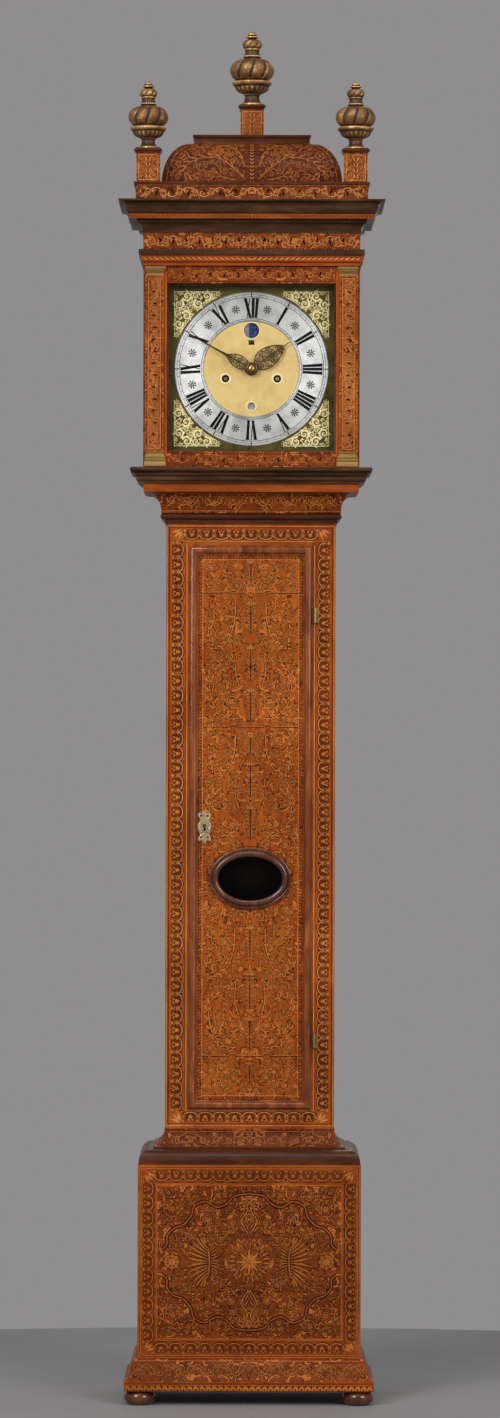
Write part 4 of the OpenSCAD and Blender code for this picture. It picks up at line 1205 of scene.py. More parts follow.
def side_inlays():
    """Crossbanded frames and strings with a small spray in each panel, on both sides of the case."""
    for way, side in SIDES:
        for name, face, u0, u1, panels in (
                ("trunk", TRUNK_HALF, TRUNK_FRONT + 4, BACK - 4, ((493, 845), (850, 1205), (1210, 1572))),
                ("base", BASE_HALF, BASE_FRONT + 4, BACK - 4, ((86, 424),))):
            middle = (u0 + u1) / 2
            art = Inlay(upright_side(face, way))
            for v0, v1 in panels:
                centre = (v0 + v1) / 2
                art.frame(u0, u1, v0, v1, 1.2, PALE)
                art.frame(u0 + 2, u1 - 2, v0 + 2, v1 - 2, 7.5, BROWN)
                art.frame(u0 + 10, u1 - 10, v0 + 10, v1 - 10, 1.4, AMBER)
                spray = art.using(*four_ways(centre, middle))
                wide = (u1 - u0) / 2 - 24
                tall = (v1 - v0) / 2 - 30
                art.cased(ring_path(middle, centre, wide, tall, 64), 2.6, 1.2, AMBER, closed=True)
                rng = random.Random(3)
                for k, (du, dv, r) in enumerate(((0.34, 0.2, 15), (0.4, 0.52, 12), (0.9, 0.92, 9),
                                                 (0.5, 0.78, 7))):
                    spray.scroll(middle + wide * du, centre + tall * dv, r, pi, 1 - 2 * (k % 2), rng, AMBER)
                for k in range(5):
                    spray.leaf(middle + 2, centre + 14 + tall * 0.14 * k, 1.1, 18 - 2 * k, 4, bend=-0.5,
                               tone=AMBER, shade=True)
                art.flower(middle, centre, 12, 8, tone=PALE)
            art.piece(name + "_side_inlay_" + side, "case")


# ---------------------------------------------------------------- caddy, pedestals and finials

CADDY_HALF = 207.25
CADDY_FRONT = -100.75
DOME_HALF = 106.0
DOME_FRONT = 0.5
DOME_BACK = 120.0
CADDY_TOP = box_of("caddy_plinth")[1][2]
CAP_TOP = box_of("caddy_dome")[1][2]
CAP_LOW = CAP_TOP - 16.5
# Long stems on each half of the dome: points across and up it, leaf size, side of the leaves
DOME_STEMS = (
    (((0.03, 0.06), (0.2, 0.3), (0.45, 0.5), (0.72, 0.44), (0.84, 0.24), (0.72, 0.12), (0.6, 0.22)), 16.0, 1),
    (((0.04, 0.3), (0.12, 0.6), (0.3, 0.82), (0.5, 0.84), (0.58, 0.7)), 13.0, -1),
    (((0.16, 0.05), (0.34, 0.12), (0.46, 0.28)), 9.0, -1),
    (((0.66, 0.66), (0.8, 0.76), (0.92, 0.66)), 9.0, 1),
)
DOME = arc(0, CADDY_TOP, 56, CAP_LOW - CADDY_TOP, 0, 90, 28)
CAP = ([(-2, CAP_LOW), (-2, CAP_LOW + 4)] + arc(0, CAP_LOW + 4, 2, 8, 180, 90, 10)
       + [(0.5, CAP_LOW + 12.5), (0.5, CAP_TOP)])


def crown(pile, outline, half, front, back, mark_at=None, mark=0):
    """A solid with one outline on its front and sides, flat at the back."""
    rings = [[(-half - p, back, z), (-half - p, front - p, z), (half + p, front - p, z), (half + p, back, z)]
             for p, z in outline]
    start = len(pile.faces)
    strip(pile, rings, mark)
    if mark_at:
        mark_by_height(pile, start, mark_at)


def caddy():
    """The box plinth, the domed caddy with its cap, and their inlays."""
    woods = ["dark_seaweed", "walnut", "dome"]
    plinth = Pile()
    outline = eased([(0, 2149.5), (0, 2177.5), (3.3, 2177.5), (3.3, 2182.3), (0, 2182.3)], 0.5)
    crown(plinth, outline, CADDY_HALF, CADDY_FRONT, BACK, lambda z: 1 if z > 2177.4 else 0)
    plinth.piece("caddy_box", "hood", woods, "marquetry", ["caddy_plinth"])
    dome = Pile()
    crown(dome, DOME, DOME_HALF, DOME_FRONT, DOME_BACK, mark=2)
    crown(dome, eased(CAP, 0.4), DOME_HALF, DOME_FRONT, DOME_BACK, mark=1)
    dome.piece("caddy_top", "hood", woods, "marquetry", ["caddy_dome"])

    rng = random.Random(23)
    art = Inlay(flat(CADDY_FRONT), MIRRORED, weight=0.85, rim=0.9)
    rinceau(art, 0, CADDY_HALF - 8, 2152.5, 2175, 30, rng, PALE)
    for v in (2151, 2176.4):
        art.ribbon([(0, v), (CADDY_HALF - 3, v)], 0.8, AMBER)
    art.piece("caddy_box_scrolls", "hood")
    profile = Profile(DOME)
    art = Inlay(profile.front(DOME_FRONT), MIRRORED, weight=0.72, rim=2.0)
    length = profile.length

    def half_at(v):
        return DOME_HALF + profile.at(min(max(v, 0), length), 0)[0]

    band = [1.5 + (length - 4.5) * k / 14 for k in range(15)]
    art.using().cased([(0, v) for v in band], 14.0, 9.0, BROWN)
    for v in band[:-1]:
        for lean in (0.9, 2.2):
            art.leaf(0.6, v, lean, 6.5, 2.2, tone=AMBER)
    for inset, wide, tone in ((6, 1.4, INK), (9, 0.9, PALE)):
        art.ribbon([(half_at(length * k / 16) - inset, 1.5 + (length - 4) * k / 16) for k in range(17)], wide,
                   tone)

    stems = []
    for shape, size, way in DOME_STEMS:
        stem = [(8 + u * (half_at(v * length) - 22), 3 + v * (length - 8)) for u, v in shape]
        acanthus(art, stem, size, way)
        stems.append(away_from(smooth_path(stem, 3)))

    def room(u, v):
        free = min(u - 7.4, half_at(v) - 11 - u, v - 2.0, length - 3.0 - v)
        return min([free] + [stem(u, v) - 4.0 for stem in stems])

    scrollwork(art, rng, room, (8, DOME_HALF + 50, 0, length), 15.0, 3.2, AMBER, leaves=9)
    art.piece("caddy_top_scrolls", "hood", DULL_WOODS)
    for way, side in SIDES:
        for name, outline, half, u0, u1 in (("caddy_top_side_", DOME, DOME_HALF, DOME_FRONT + 4,
                                             DOME_BACK - 6),
                                            ("caddy_box_side_", [(0, 2149.5), (0, 2177.5)], CADDY_HALF,
                                             CADDY_FRONT + 8, BACK - 6)):
            shape = Profile(outline)
            art = Inlay(shape.side(half, way))
            high = shape.length
            if high > 40:
                scrollwork(art, random.Random(8), rectangle_room(u0, u1, 6, high - 8), (u0, u1, 6, high - 8),
                           19.0, 5.0, AMBER)
            else:
                rinceau(art, u0, u1, 3.5, high - 3.5, 29, random.Random(9), AMBER)
            art.piece(name + side, "hood")


CAP_TALL = 9.5
PEDESTAL_TOP = box_of("finial_pedestals")[1][2] - CAP_TALL
SIDE_PEDESTAL_TOP = 2234.0
# Each finial's place, the foot and top of its block, and its size
FINIALS = ((0, 62, CAP_TOP, PEDESTAL_TOP, 1.0), (-185.3, -79.5, CADDY_TOP, SIDE_PEDESTAL_TOP, 0.898),
           (185.3, -79.5, CADDY_TOP, SIDE_PEDESTAL_TOP, 0.898))


def pedestals():
    """Three inlaid blocks with moulded caps."""
    pile = Pile()
    half = 20.75
    for x, y, low, high, _ in FINIALS:
        board(pile, (x - half, x + half), (y - half, y + half), (low, high), 0.6)
        outline = eased([(-2, 0), (1.2, 0), (1.8, 1.8), (2.2, 3)] + arc(2.2, 5.2, 2.05, 1.9, -80, 80, 8)
                        + [(2.6, 7.4), (0.4, CAP_TALL), (-2, CAP_TALL)], 0.3)
        around = ((-1, -1), (1, -1), (1, 1), (-1, 1))
        strip(pile, [[(x + su * (half + p), y + sv * (half + p), high + z) for su, sv in around]
                     for p, z in outline], 1)
    pile.piece("pedestal_blocks", "hood", ["upright_seaweed", "walnut"], "ebonised_wood",
               ["finial_pedestals"])
    art = Inlay(None)
    rng = random.Random(2)
    for x, y, low, high, _ in FINIALS:
        middle = (low + high) / 2
        for place in (lambda u, v, h: (x + u, y - half - h, v), lambda u, v, h: (x + half + h, y + u, v),
                      lambda u, v, h: (x - half - h, y - u, v)):
            art.place = place
            art.frame(-half + 1.5, half - 1.5, low + 1.5, high - 1.5, 0.8, INK)
            art.frame(-half + 3, half - 3, low + 3, high - 3, 0.7, PALE)
            art.ribbon([(0, low + 6), (0, high - 6)], 1.2, INK)
            pair = art.using(*MIRRORED)
            for dv, r in ((-0.26, 6.6), (0.0, 4.6), (0.26, 5.4)):
                pair.scroll(9.4, middle + dv * (high - low), r, pi, 1 if dv < 0 else -1, rng, AMBER, leaves=5)
            for k in range(4):
                pair.leaf(0.8, low + 7 + (high - low - 18) * k / 3.4, 1.0, 9, 2.0, bend=0.5, tone=PALE,
                          shade=True)
    art.piece("pedestal_inlay", "hood")


FINIAL = ([(20, 0), (20, 1.6), (19, 3), (16.5, 5), (13.9, 8), (13.3, 12), (13.4, 17), (15.8, 19),
           (15.8, 20.6)]
          + arc(13.5, 34, 18, 13.4, -70, 0, 12) + [(34.4, 36), (36, 38.6), (36, 41.4), (34.6, 42.6)]
          + arc(16, 62.5, 24.3, 21, -58, 80, 36)
          + [(16, 84.5), (14.2, 86), (16.8, 87.6), (16.8, 89.4), (14.2, 91), (13, 95), (12.8, 99),
             (14.8, 100.4), (14.8, 101.8)] + arc(9, 110, 9, 8.5, -50, 80, 20)
          + [(8.2, 119.6), (7.2, 121), (11.9, 122.4), (11.9, 124), (7.4, 125.6)]
          + arc(0.6, 128, 7.9, 4.5, -10, 86, 10))


def finials():
    """Carved urns with twisted gadroons, a beaded collar and a fluted bulb."""
    def carve(angle, radius, height):
        if 43 < height < 84:
            part = (height - 43) / 41
            twist = angle * 9 - 3.1 * part
            lobe = abs(cos(twist / 2)) ** 0.7
            fade = min(1.0, sin(pi * part) * 2.2)
            return radius * (1 - 0.15 * fade * (1 - lobe))
        if 20.7 < height < 34:
            fade = sin(pi * (height - 20.7) / 13.3)
            return radius * (1 - 0.05 * fade * (1 - abs(cos(angle * 10))))
        if 102 < height < 119:
            fade = sin(pi * (height - 102) / 17)
            return radius * (1 - 0.13 * fade * (1 - abs(cos(angle * 4 - (height - 102) * 0.1)) ** 0.7))
        if 86 < height < 91:
            return radius * (1 - 0.05 * (1 - abs(cos(angle * 12))))
        return radius

    pile = Pile()
    for x, y, _, top, size in FINIALS:
        outline = [(r * size, h * size) for r, h in resampled([(0.4, 0)] + FINIAL + [(0.4, 132.5)], 1.3)]
        lathe(pile, outline, (x, y), top + CAP_TALL, 144, lambda a, r, h: carve(a, r / size, h / size) * size)
    pile.piece("carved_finials", "hood", ["gilding"], "gilt_wood", ["finials"], sharp=50)


# ---------------------------------------------------------------- hood door

def hood_door():
    """The glazed door: inlaid frame, flat pilasters with brass capitals and bases, and old glass."""
    frame_low, frame_high = box_of("hood_door_frame")
    low, high = frame_low[2], frame_high[2]
    y = (frame_low[1], frame_high[1])
    glass_half, door_half = 151, 190
    glass_low, glass_high = 1702, 2003
    pilaster_front = -84
    pile = Pile()
    for way in (-1, 1):
        board(pile, sorted((way * glass_half, way * door_half)), y, (low, high), 0.5, 0)
        board(pile, sorted((way * 157, way * door_half)), (pilaster_front, -80), (1701, 2017), 0.5, 3)
    for z in ((low, glass_low), (glass_high, high)):
        board(pile, (-glass_half, glass_half), y, z, 0.4, 1)
    # Quarter-round beads against the glass
    bead = [(0, 0)] + [(3.2 * cos(a * pi / 12), 3.2 * sin(a * pi / 12)) for a in range(7)]
    corners = ((-glass_half, glass_low, 1, 1), (glass_half, glass_low, -1, 1),
               (glass_half, glass_high, -1, -1), (-glass_half, glass_high, 1, -1))
    rings = [[(cx + su * p, -70 - q, cz + sv * p) for p, q in bead] for cx, cz, su, sv in corners]
    strip(pile, rings, 2, closed=True)
    pile.piece("hood_door_woodwork", "hood_door", ["ground_orange", "seaweed", "walnut", "upright_seaweed"],
               "marquetry", ["hood_door_frame", "pilasters"])

    rng = random.Random(31)
    art = Inlay(flat(pilaster_front), MIRRORED, weight=0.85, rim=0.9)
    art.frame(160, 187, 1704, 2014, 1.0, INK)
    art.frame(162, 185, 1706, 2012, 0.7, PALE)
    rinceau(art, 1710, 2008, 164.5, 182.5, 22, rng, PALE, upright=True)
    art.piece("pilaster_inlay", "hood_door")
    art = Inlay(flat(y[0]), MIRRORED, weight=0.85, rim=0.9)
    for v0, v1 in ((low + 3, 1698.5), (2006.5, high - 3)):
        rinceau(art, 0, 148, v0 + 2, v1 - 2, 24, rng, AMBER)
        for v in (v0, v1):
            art.ribbon([(0, v), (149, v)], 0.8, INK)
    art.piece("hood_door_inlay", "hood_door")

    brass = Pile()
    foot = [(4.6, 0), (4.6, 6.5), (3.8, 8.2), (4.4, 10), (4.4, 12), (3.0, 13.6), (3.6, 15), (3.4, 17.6),
            (1.6, 19.6), (1.2, 22), (1.8, 23.4), (1.8, 25.5)]
    capital = [(1.0, 0), (1.0, 1.6), (0.2, 2.6), (0.4, 4.4), (1.8, 7.2), (2.4, 8.4), (2.4, 9.8), (3.4, 10.6),
               (3.9, 12.6), (3.9, 15.6)]
    for way in (-1, 1):
        ends = sorted((way * 157.6, way * 186.6))
        for base, outline in ((1675.5, foot), (2017.0, capital)):
            surround(brass, [(p, base + z) for p, z in outline], ends, -82, -80, 1)
    brass.piece("pilaster_mounts", "hood_door", ["capital"], "gilt_brass", ["pilaster_brasses"])
    assign("hood_door_glass", "hood_glass")


# ---------------------------------------------------------------- trunk door

LENTICLE_Z = 938.0
# Long stems of the door's compartments: points across and up a compartment, leaf size, side of the leaves
STEMS = (
    (((0.26, 0.04), (0.52, 0.05), (0.82, 0.16), (0.9, 0.34), (0.74, 0.44), (0.56, 0.36), (0.62, 0.26)),
     15, -1),
    (((0.3, 0.96), (0.34, 0.78), (0.56, 0.62), (0.82, 0.6), (0.93, 0.74), (0.8, 0.86), (0.66, 0.8)), 15, 1),
    (((0.22, 0.3), (0.3, 0.42), (0.28, 0.56), (0.44, 0.52), (0.5, 0.46)), 11, -1),
)
KEY_AT = (-82.0, 1030.5)
HINGE_PIN = (115.6, -47.6)
HINGE_HEIGHTS = (647.5, 1410.0)


def trunk_door():
    """The long door: veneered panel, half-round frame, oval window, keyhole plate and hinges."""
    pile = Pile()
    middle = LENTICLE_Z
    oval = ring_path(0, middle, 59, 40.5, 72)
    outline = [(door_low[0], door_low[2]), (door_high[0], door_low[2]), (door_high[0], door_high[2]),
               (door_low[0], door_high[2])]
    cut_sheet(pile, [outline, oval], TRUNK_FRONT, 18)
    pile.piece("door_panel", "trunk_door", ["door"], "marquetry", ["trunk_door_panel"])

    moulding = Pile()
    section = eased([(0, 0), (0, 2), (1.8, 2)] + arc(8.6, 2, 6.4, 6, 180, 0, 22) + [(17.1, 2), (17.1, 0)],
                    0.3)
    half, (foot, head) = 94.5, (539.4, 1518.5)
    corners = ((-half, foot, -1, -1), (half, foot, 1, -1), (half, head, 1, 1), (-half, head, -1, 1))
    rings = [[(u + su * p, TRUNK_FRONT - q, v + sv * p) for p, q in section] for u, v, su, sv in corners]
    strip(moulding, rings, closed=True)
    moulding.piece("door_frame_moulding", "trunk_door", ["walnut_z"], "walnut", ["trunk_door_moulding"])

    ring = Pile()
    section = ([(3, 0), (3, 3.4), (2, 4.2), (2, 6.2)] + arc(7, 5.2, 4.6, 3.8, 165, 5, 14)
               + [(12.6, 4.6), (13.2, 3.0)] + arc(15, 2.0, 2.5, 2.0, 150, 0, 8) + [(17.5, 0)])
    rings = []
    for i in range(96):
        angle = 2 * pi * i / 96
        rings.append([((56 + g) * cos(angle), TRUNK_FRONT - f, middle + (37.5 + g) * sin(angle))
                      for g, f in section])
    strip(ring, rings, 0, closed=True)
    ring.piece("oval_window_moulding", "trunk_door", ["turned_walnut"], "walnut", ["lenticle_ring"])
    assign("lenticle_glass", "lenticle_glass")

    # Keyhole plate, pierced and chased
    plate = Pile()
    kx, kz = KEY_AT
    right = smooth_path([(1.6, -29), (4.6, -24), (9.6, -25.5), (11.8, -21), (8.2, -15), (9.6, -9), (12, -2),
                         (11.6, 6), (8, 11), (9.2, 16), (12, 21), (8.6, 25.5), (4.4, 24), (1.6, 29)], 5)
    edge = [(kx + u, kz + v) for u, v in right] + [(kx - u, kz + v) for u, v in reversed(right)]
    hole = [(kx + 3.4 * cos(radians(a)), kz + 1.5 + 3.4 * sin(radians(a))) for a in range(-60, 241, 20)]
    hole += [(kx - 2.3, kz - 7.5), (kx + 2.3, kz - 7.5)]
    eyes = [ring_path(kx + way * du, kz + dv, r, r, 12) for way in (-1, 1)
            for du, dv, r in ((5.6, 19.5, 2.5), (5.6, -19.5, 2.5), (7.4, 5, 1.9), (5.6, -10.6, 1.4))]
    cut_sheet(plate, [edge, hole] + eyes, TRUNK_FRONT - 1.3, 1.2)
    # A black patch in the keyhole: painted shade for the dark hole behind the plate.
    dark = Inlay(flat(TRUNK_FRONT), lift={AMBER: 0.08}, sunk=0.0)
    dark.patch(hole, AMBER)
    plate.add(dark.pile.points, dark.pile.faces, 2)
    chase = Inlay(lambda u, v, h: (kx + u, TRUNK_FRONT - 1.2 - h, kz + v), MIRRORED,
                  lift={PALE: 0.9}, sunk=0.0, section=Inlay.ROUND)
    for path in ([(6, 1), (7.5, 6), (9.8, 4), (9.6, -1), (7, -4)],
                 [(1, 13), (5, 14), (9, 18), (7, 23), (3, 21)],
                 [(1, -12), (5, -14), (9, -18), (7, -23), (3, -21)], [(0.6, 24), (0.9, 27)]):
        chase.ribbon(smooth_path(path, 5), 1.3)
    chase.loop(ring_path(0, 0.4, 5.4, 9.6, 24), 1.0)
    plate.add(chase.pile.points, chase.pile.faces, 0)
    # Hinges: a rolled knuckle with its leaf folded round the frame
    pin_x, pin_y = HINGE_PIN
    knuckle = [(1.8, -4.7), (3.1, -4.7), (3.4, -4.3), (3.4, 4.3), (3.1, 4.7), (1.8, 4.7)]
    for z in HINGE_HEIGHTS:
        lathe(plate, knuckle, HINGE_PIN, z, 32, mark=1, closed=True)
        board(plate, (111.6, 112.05), (-51, TRUNK_FRONT - 0.3), (z - 13, z + 13), 0.1, 1)
        board(plate, (111.6, pin_x - 3.1), (pin_y - 1, pin_y + 1), (z - 4.7, z + 4.7), 0.1, 1)
    plate.piece("door_mounts_and_keyhole_shade", "trunk_door", ["lock", "capital", "wax"], "brass",
                ["door_brasses"])


def door_marquetry():
    """The arabesques of the door, the same on both halves, in four compartments."""
    rng = random.Random(17)
    art = Inlay(flat(TRUNK_FRONT), MIRRORED, rim=1.25)
    u_edge = 93.4
    v0, v1 = 540.6, 1517.2
    # Cut string round the whole panel
    art.ribbon([(u_edge - 0.8, v0), (u_edge - 0.8, v1)], 1.0, INK)
    string_dashes(art, (u_edge - 4.2, v0), (u_edge - 4.2, v1), 4.0, 5.4, BROWN, 1.2)
    art.ribbon([(u_edge - 7.4, v0 + 6), (u_edge - 7.4, v1 - 6)], 0.9, PALE)
    for v, way in ((v0, 1), (v1, -1)):
        art.ribbon([(0, v + way * 0.8), (u_edge, v + way * 0.8)], 1.0, INK)
        string_dashes(art, (1.5, v + way * 4.2), (u_edge - 7, v + way * 4.2), 4.0, 5.4, BROWN, 1.2)
        art.ribbon([(0, v + way * 7.4), (u_edge - 7.4, v + way * 7.4)], 0.9, PALE)
    outer = u_edge - 10
    ring_room = 74.0, 55.0
    # Compartments from the bottom up: their limits, their largest scroll, and the motifs on the axis, each
    # as (height, half width, half height)
    fields = (
        (v0 + 10, 616.0, 12.0, ((590.0, 13, 22),)),
        (622.0, 860.0, 18.0, ((662.0, 16, 34), (740.0, 19, 40), (826.0, 15, 34))),
        (860.0, 1206.0, 18.0, ((1040.0, 15, 36), (1118.0, 20, 38), (1178.0, 12, 20))),
        (1212.0, 1447.0, 18.0, ((1252.0, 15, 34), (1326.0, 21, 38), (1408.0, 17, 34))),
        (1453.0, v1 - 10, 12.0, ((1490.0, 13, 20), (1456.0, 16, 16))),
    )
    for low, high, largest, motifs in fields:
        stems = []
        if high - low > 100:
            foot = max(low, 1002.0) if high > 1000 else low
            tall = min(high, 868.0) - foot if high < 1000 else high - foot
            for shape, size, way in STEMS:
                stem = [(4 + u * (outer - 6), foot + 4 + v * (tall - 8)) for u, v in shape]
                acanthus(art, stem, size, way)
                stems.append(away_from(smooth_path(stem, 3)))

        def room(u, v):
            free = min(u - 1.0, outer - u, v - low, high - v)
            near = hypot(u / ring_room[0], (v - LENTICLE_Z) / ring_room[1])
            free = min(free, (near - 1) * 58)
            free = min(free, hypot((u + 84) / 14, (v - KEY_AT[1]) / 30) * 14 - 12)
            for centre, wide, high_half in motifs:
                free = min(free, (hypot(u / wide, (v - centre) / high_half) - 1) * wide)
            for stem in stems:
                if free > 2:
                    free = min(free, stem(u, v) - 4.5)
            return free
        scrollwork(art, rng, room, (0, outer, low, high), largest, 3.8, AMBER, leaves=7)
        for centre, wide, tall in motifs:
            if tall > 16:
                vase(art, centre, wide, tall)
    for v, start in ((619.0, 0), (1209.5, 0), (1450.0, 13)):
        path = [(start, v), (24, v), (27, v + 3), (34, v + 3), (37, v), (outer + 2, v)]
        art.ribbon(path, 1.5, INK)
        art.ribbon([(u, w + 1.5) for u, w in path], 0.7, PALE)
    art.cased([(13.5 * cos(a * pi / 16), 1450 + 17 * sin(a * pi / 16)) for a in range(9)], 3.2, 1.4, PALE)
    art.using().flower(0, 1456, 6.5, 5, pi / 2, AMBER)
    art.ribbon([(76.5 * cos(a * pi / 24), LENTICLE_Z + 57.5 * sin(a * pi / 24)) for a in range(-12, 13)], 1.0,
               INK)
    art.piece("door_marquetry", "trunk_door")


def acanthus(art, path, size, way):
    """A long tapering stem with leaves that turn away from it, fullest at its middle."""
    line = smooth_path(path, 8)
    count = len(line) - 1
    parts = [i / count for i in range(count + 1)]
    art.cased(line, [5.2 - 2.2 * t for t in parts], [2.6 - 1.4 * t for t in parts], AMBER)
    for i in range(2, count - 1, 3):
        (au, av), (bu, bv) = line[i - 1], line[i + 1]
        along = atan2(bv - av, bu - au)
        full = 0.45 + 0.55 * sin(pi * i / count)
        art.leaf(*line[i], along + way * 0.85, size * full, size * 0.26 * full, bend=-way * 0.9, tone=AMBER,
                 shade=True)
        if i % 2:
            art.leaf(*line[i], along - way * 0.7, size * 0.6 * full, size * 0.2 * full, bend=way * 0.8,
                     tone=AMBER, shade=True)


def vase(art, centre, wide, tall):
    """An axis motif: two lyre curves round a tree of leaves, under a fan."""
    low = centre - tall * 0.9
    lyre = smooth_path([(1.6, low), (wide * 0.5, low + tall * 0.25), (wide * 0.85, centre - tall * 0.1),
                        (wide * 0.3, centre + tall * 0.25), (wide * 0.24, centre + tall * 0.5),
                        (wide * 0.62, centre + tall * 0.72), (wide * 0.9, centre + tall * 0.58),
                        (wide * 0.7, centre + tall * 0.42)], 5)
    art.cased(lyre, 2.6, 1.1, AMBER)
    for k in range(7):
        art.leaf(1.2, low + tall * 0.2 * (k + 0.5), 1.35 - 0.12 * k, tall * 0.3, 1.9, bend=-0.6, tone=AMBER,
                 shade=True)
    for k in range(4):
        art.leaf(0.9 + 0.6 * k, centre + tall * 0.6, 1.5 - 0.42 * k, tall * (0.34 - 0.03 * k), 2.2, bend=-0.2,
                 tone=AMBER, shade=True)
    art.using().ribbon([(0, low), (0, centre + tall * 0.6)], 1.5, INK)


# ---------------------------------------------------------------- dial

RING_IN, RING_OUT = 86.0, 138.5
RING_FACE = -46.0
NUMERALS = ("XII", "I", "II", "III", "IIII", "V", "VI", "VII", "VIII", "IX", "X", "XI")
FOOT, HEAD = 92.5, 127.0
# Openings in the dial's centre, as heights over and under its middle, and the two winding holes
MOON_UP = 69.0
DATE_DOWN = 67.0
WINDING = ((-46.4, -17.5), (46.4, -17.5))


def on_dial(radius, turn):
    """A point on the dial, clockwise from twelve as seen from the front."""
    return radius * sin(turn), DIAL_Z + radius * cos(turn)


def dial():
    """The silvered ring with its engraving, the matted centre and the openings in it."""
    ring = Pile()
    turned(ring, [(RING_IN, -0.4), (RING_IN, 1.7), (RING_IN + 0.4, 2), (RING_OUT - 0.4, 2), (RING_OUT, 1.7),
                  (RING_OUT, -0.4)], 0, DIAL_Z, DIAL_Y, 160, closed=True)
    ring.piece("silvered_ring", "case", ["silver"], "silvered_brass", ["chapter_ring"])

    art = Inlay(flat(RING_FACE), lift={PALE: 0.09}, sunk=0.05)
    for radius, wide in ((87.2, 0.6), (90.2, 0.9), (129.3, 0.9), (133.4, 0.6), (137.6, 0.8)):
        art.loop(ring_path(0, DIAL_Z, radius, count=144), wide)
    for minute in range(60):
        turn = radians(6 * minute)
        long = minute % 5 == 0
        art.ribbon([on_dial(129.3, turn), on_dial(137.2 if long else 133.4, turn)], 1.7 if long else 0.75)
    for quarter in range(48):
        turn = radians(7.5 * quarter)
        art.ribbon([on_dial(87.2, turn), on_dial(90.2, turn)], 0.5)
    thick, thin = 5.6, 1.7
    for hour, numeral in enumerate(NUMERALS):
        widths = [7.4 if letter == "I" else 13.6 for letter in numeral]
        left = -sum(widths) / 2
        for letter, wide in zip(numeral, widths):
            centre = left + wide / 2
            left += wide

            def spot(shift, radius):
                return on_dial(radius, radians(30 * hour) + (centre + shift) / HEAD)

            half = wide / 2 - 2.9
            strokes = {"I": [(0, 0, thick)], "V": [(-half, 0, thick), (half, 0, thin)],
                       "X": [(-half, half, thick), (half, -half, thin)]}[letter]
            for top, bottom, stroke in strokes:
                art.ribbon([spot(bottom, FOOT), spot(top, HEAD)], [stroke * 0.8, stroke])
                art.ribbon([spot(top - stroke * 0.7, HEAD), spot(top + stroke * 0.7, HEAD)], 1.1)
                if letter != "V":
                    art.ribbon([spot(bottom - stroke * 0.8, FOOT), spot(bottom + stroke * 0.8, FOOT)], 1.1)
    for half_hour in range(12):
        turn = radians(30 * half_hour + 15)
        u, v = on_dial(110, turn)
        for k in range(8):
            lean = k * pi / 4 + turn
            art.ribbon([(u + 1.0 * cos(lean), v + 1.0 * sin(lean)),
                        (u + 7.4 * cos(lean), v + 7.4 * sin(lean))],
                       [1.0, 2.6])
    art.pile.piece("ring_engraving", "case", ["wax"], "silvered_brass")

    centre = Pile()
    openings = [ring_path(0, DIAL_Z, 7.4, count=32), ring_path(0, DIAL_Z + MOON_UP, 14.2, count=48),
                ring_path(0, DIAL_Z - DATE_DOWN, 7.2, count=32)]
    openings += [ring_path(x, DIAL_Z + z, 7.2, count=32) for x, z in WINDING]
    openings += [[(-5.2, DIAL_Z + 43.3), (5.2, DIAL_Z + 43.3), (5.2, DIAL_Z + 51.7), (-5.2, DIAL_Z + 51.7)]]
    cut_sheet(centre, [ring_path(0, DIAL_Z, RING_IN - 0.6, count=144)] + openings, DIAL_Y - 0.45, 0.5)
    centre.piece("matted_centre", "case", ["matting"], "brass")

    collars = Pile()
    inner = 6.9
    for (x, z), wide in ((WINDING[0], 3.6), (WINDING[1], 3.6), ((0, -DATE_DOWN), 3.0)):
        section = [(0, -0.3), (0, 1.0), (0.3, 1.5), (0.6, 1.0), (0.8, 1.3), (1, 0.4), (1, -0.3)]
        turned(collars, [(inner + wide * p, f) for p, f in section], x, DIAL_Z + z, DIAL_Y, 48, closed=True)
    turned(collars, [(13.9, -0.3), (13.9, 0.7), (14.6, 1.0), (15.4, 0.6), (15.4, -0.3)], 0, DIAL_Z + MOON_UP,
           DIAL_Y, 64, closed=True)
    # Black sleeves inside the winding holes: painted shade that keeps the holes dark in front of the lit
    # movement.
    winding_shade = [(4.7, -1.6), (4.7, -1.2), (6.75, -1.2), (6.75, -1.6)]
    for x, z in WINDING:
        turned(collars, winding_shade, x, DIAL_Z + z, DIAL_Y, 48, 1, True)
    collars.piece("dial_collars_and_hole_shades", "case", ["gilt", "wax"], "gilt_brass")

    # What shows through the openings: the moon's stars and clouds, and the calendar
    moon = Inlay(lambda u, v, h: (u, -41.0 - h, DIAL_Z + v), lift={PALE: 0.3, INK: 0.15}, sunk=0.0)
    moon_axis = 95.0
    teeth = 59
    moon.loop(ring_path(0, moon_axis, 47.6, count=96), 8.2, INK)
    for age in range(teeth):
        turn = 2 * pi * (age + 0.5) / teeth
        moon.ribbon([(r * sin(turn), moon_axis - r * cos(turn)) for r in (45.2, 50.0 if age % 2 else 48.0)],
                    1.0)
    moon.patch([(-4.4 + 10.5 * cos(t * pi / 16), MOON_UP + 13.4 * sin(t * pi / 16)) for t in range(8, 25)])
    rng = random.Random(6)
    for _ in range(9):
        moon.flower(rng.uniform(0, 9), MOON_UP + rng.uniform(-9, 9), rng.uniform(0.7, 1.3), 5)
    moon.pile.piece("moon_phase", "moon", ["moonlight", "wax"], "blue_enamel")
    days = Inlay(lambda u, v, h: (u, -39.0 - h, DIAL_Z + v), lift={PALE: 0.15}, sunk=0.05)
    for day in range(31):
        turn = 2 * pi * day / 31
        du, dv = sin(turn), -cos(turn)
        for shift in (-1.0, 1.0) if day > 8 else (0.0,):
            u = DATE_DOWN * du + shift * dv
            v = DATE_DOWN * dv - shift * du
            days.ribbon([(u - 1.8 * du, v - 1.8 * dv), (u + 1.8 * du, v + 1.8 * dv)], 0.6)
    days.pile.piece("date_marks", "date", ["wax"], "silvered_brass")


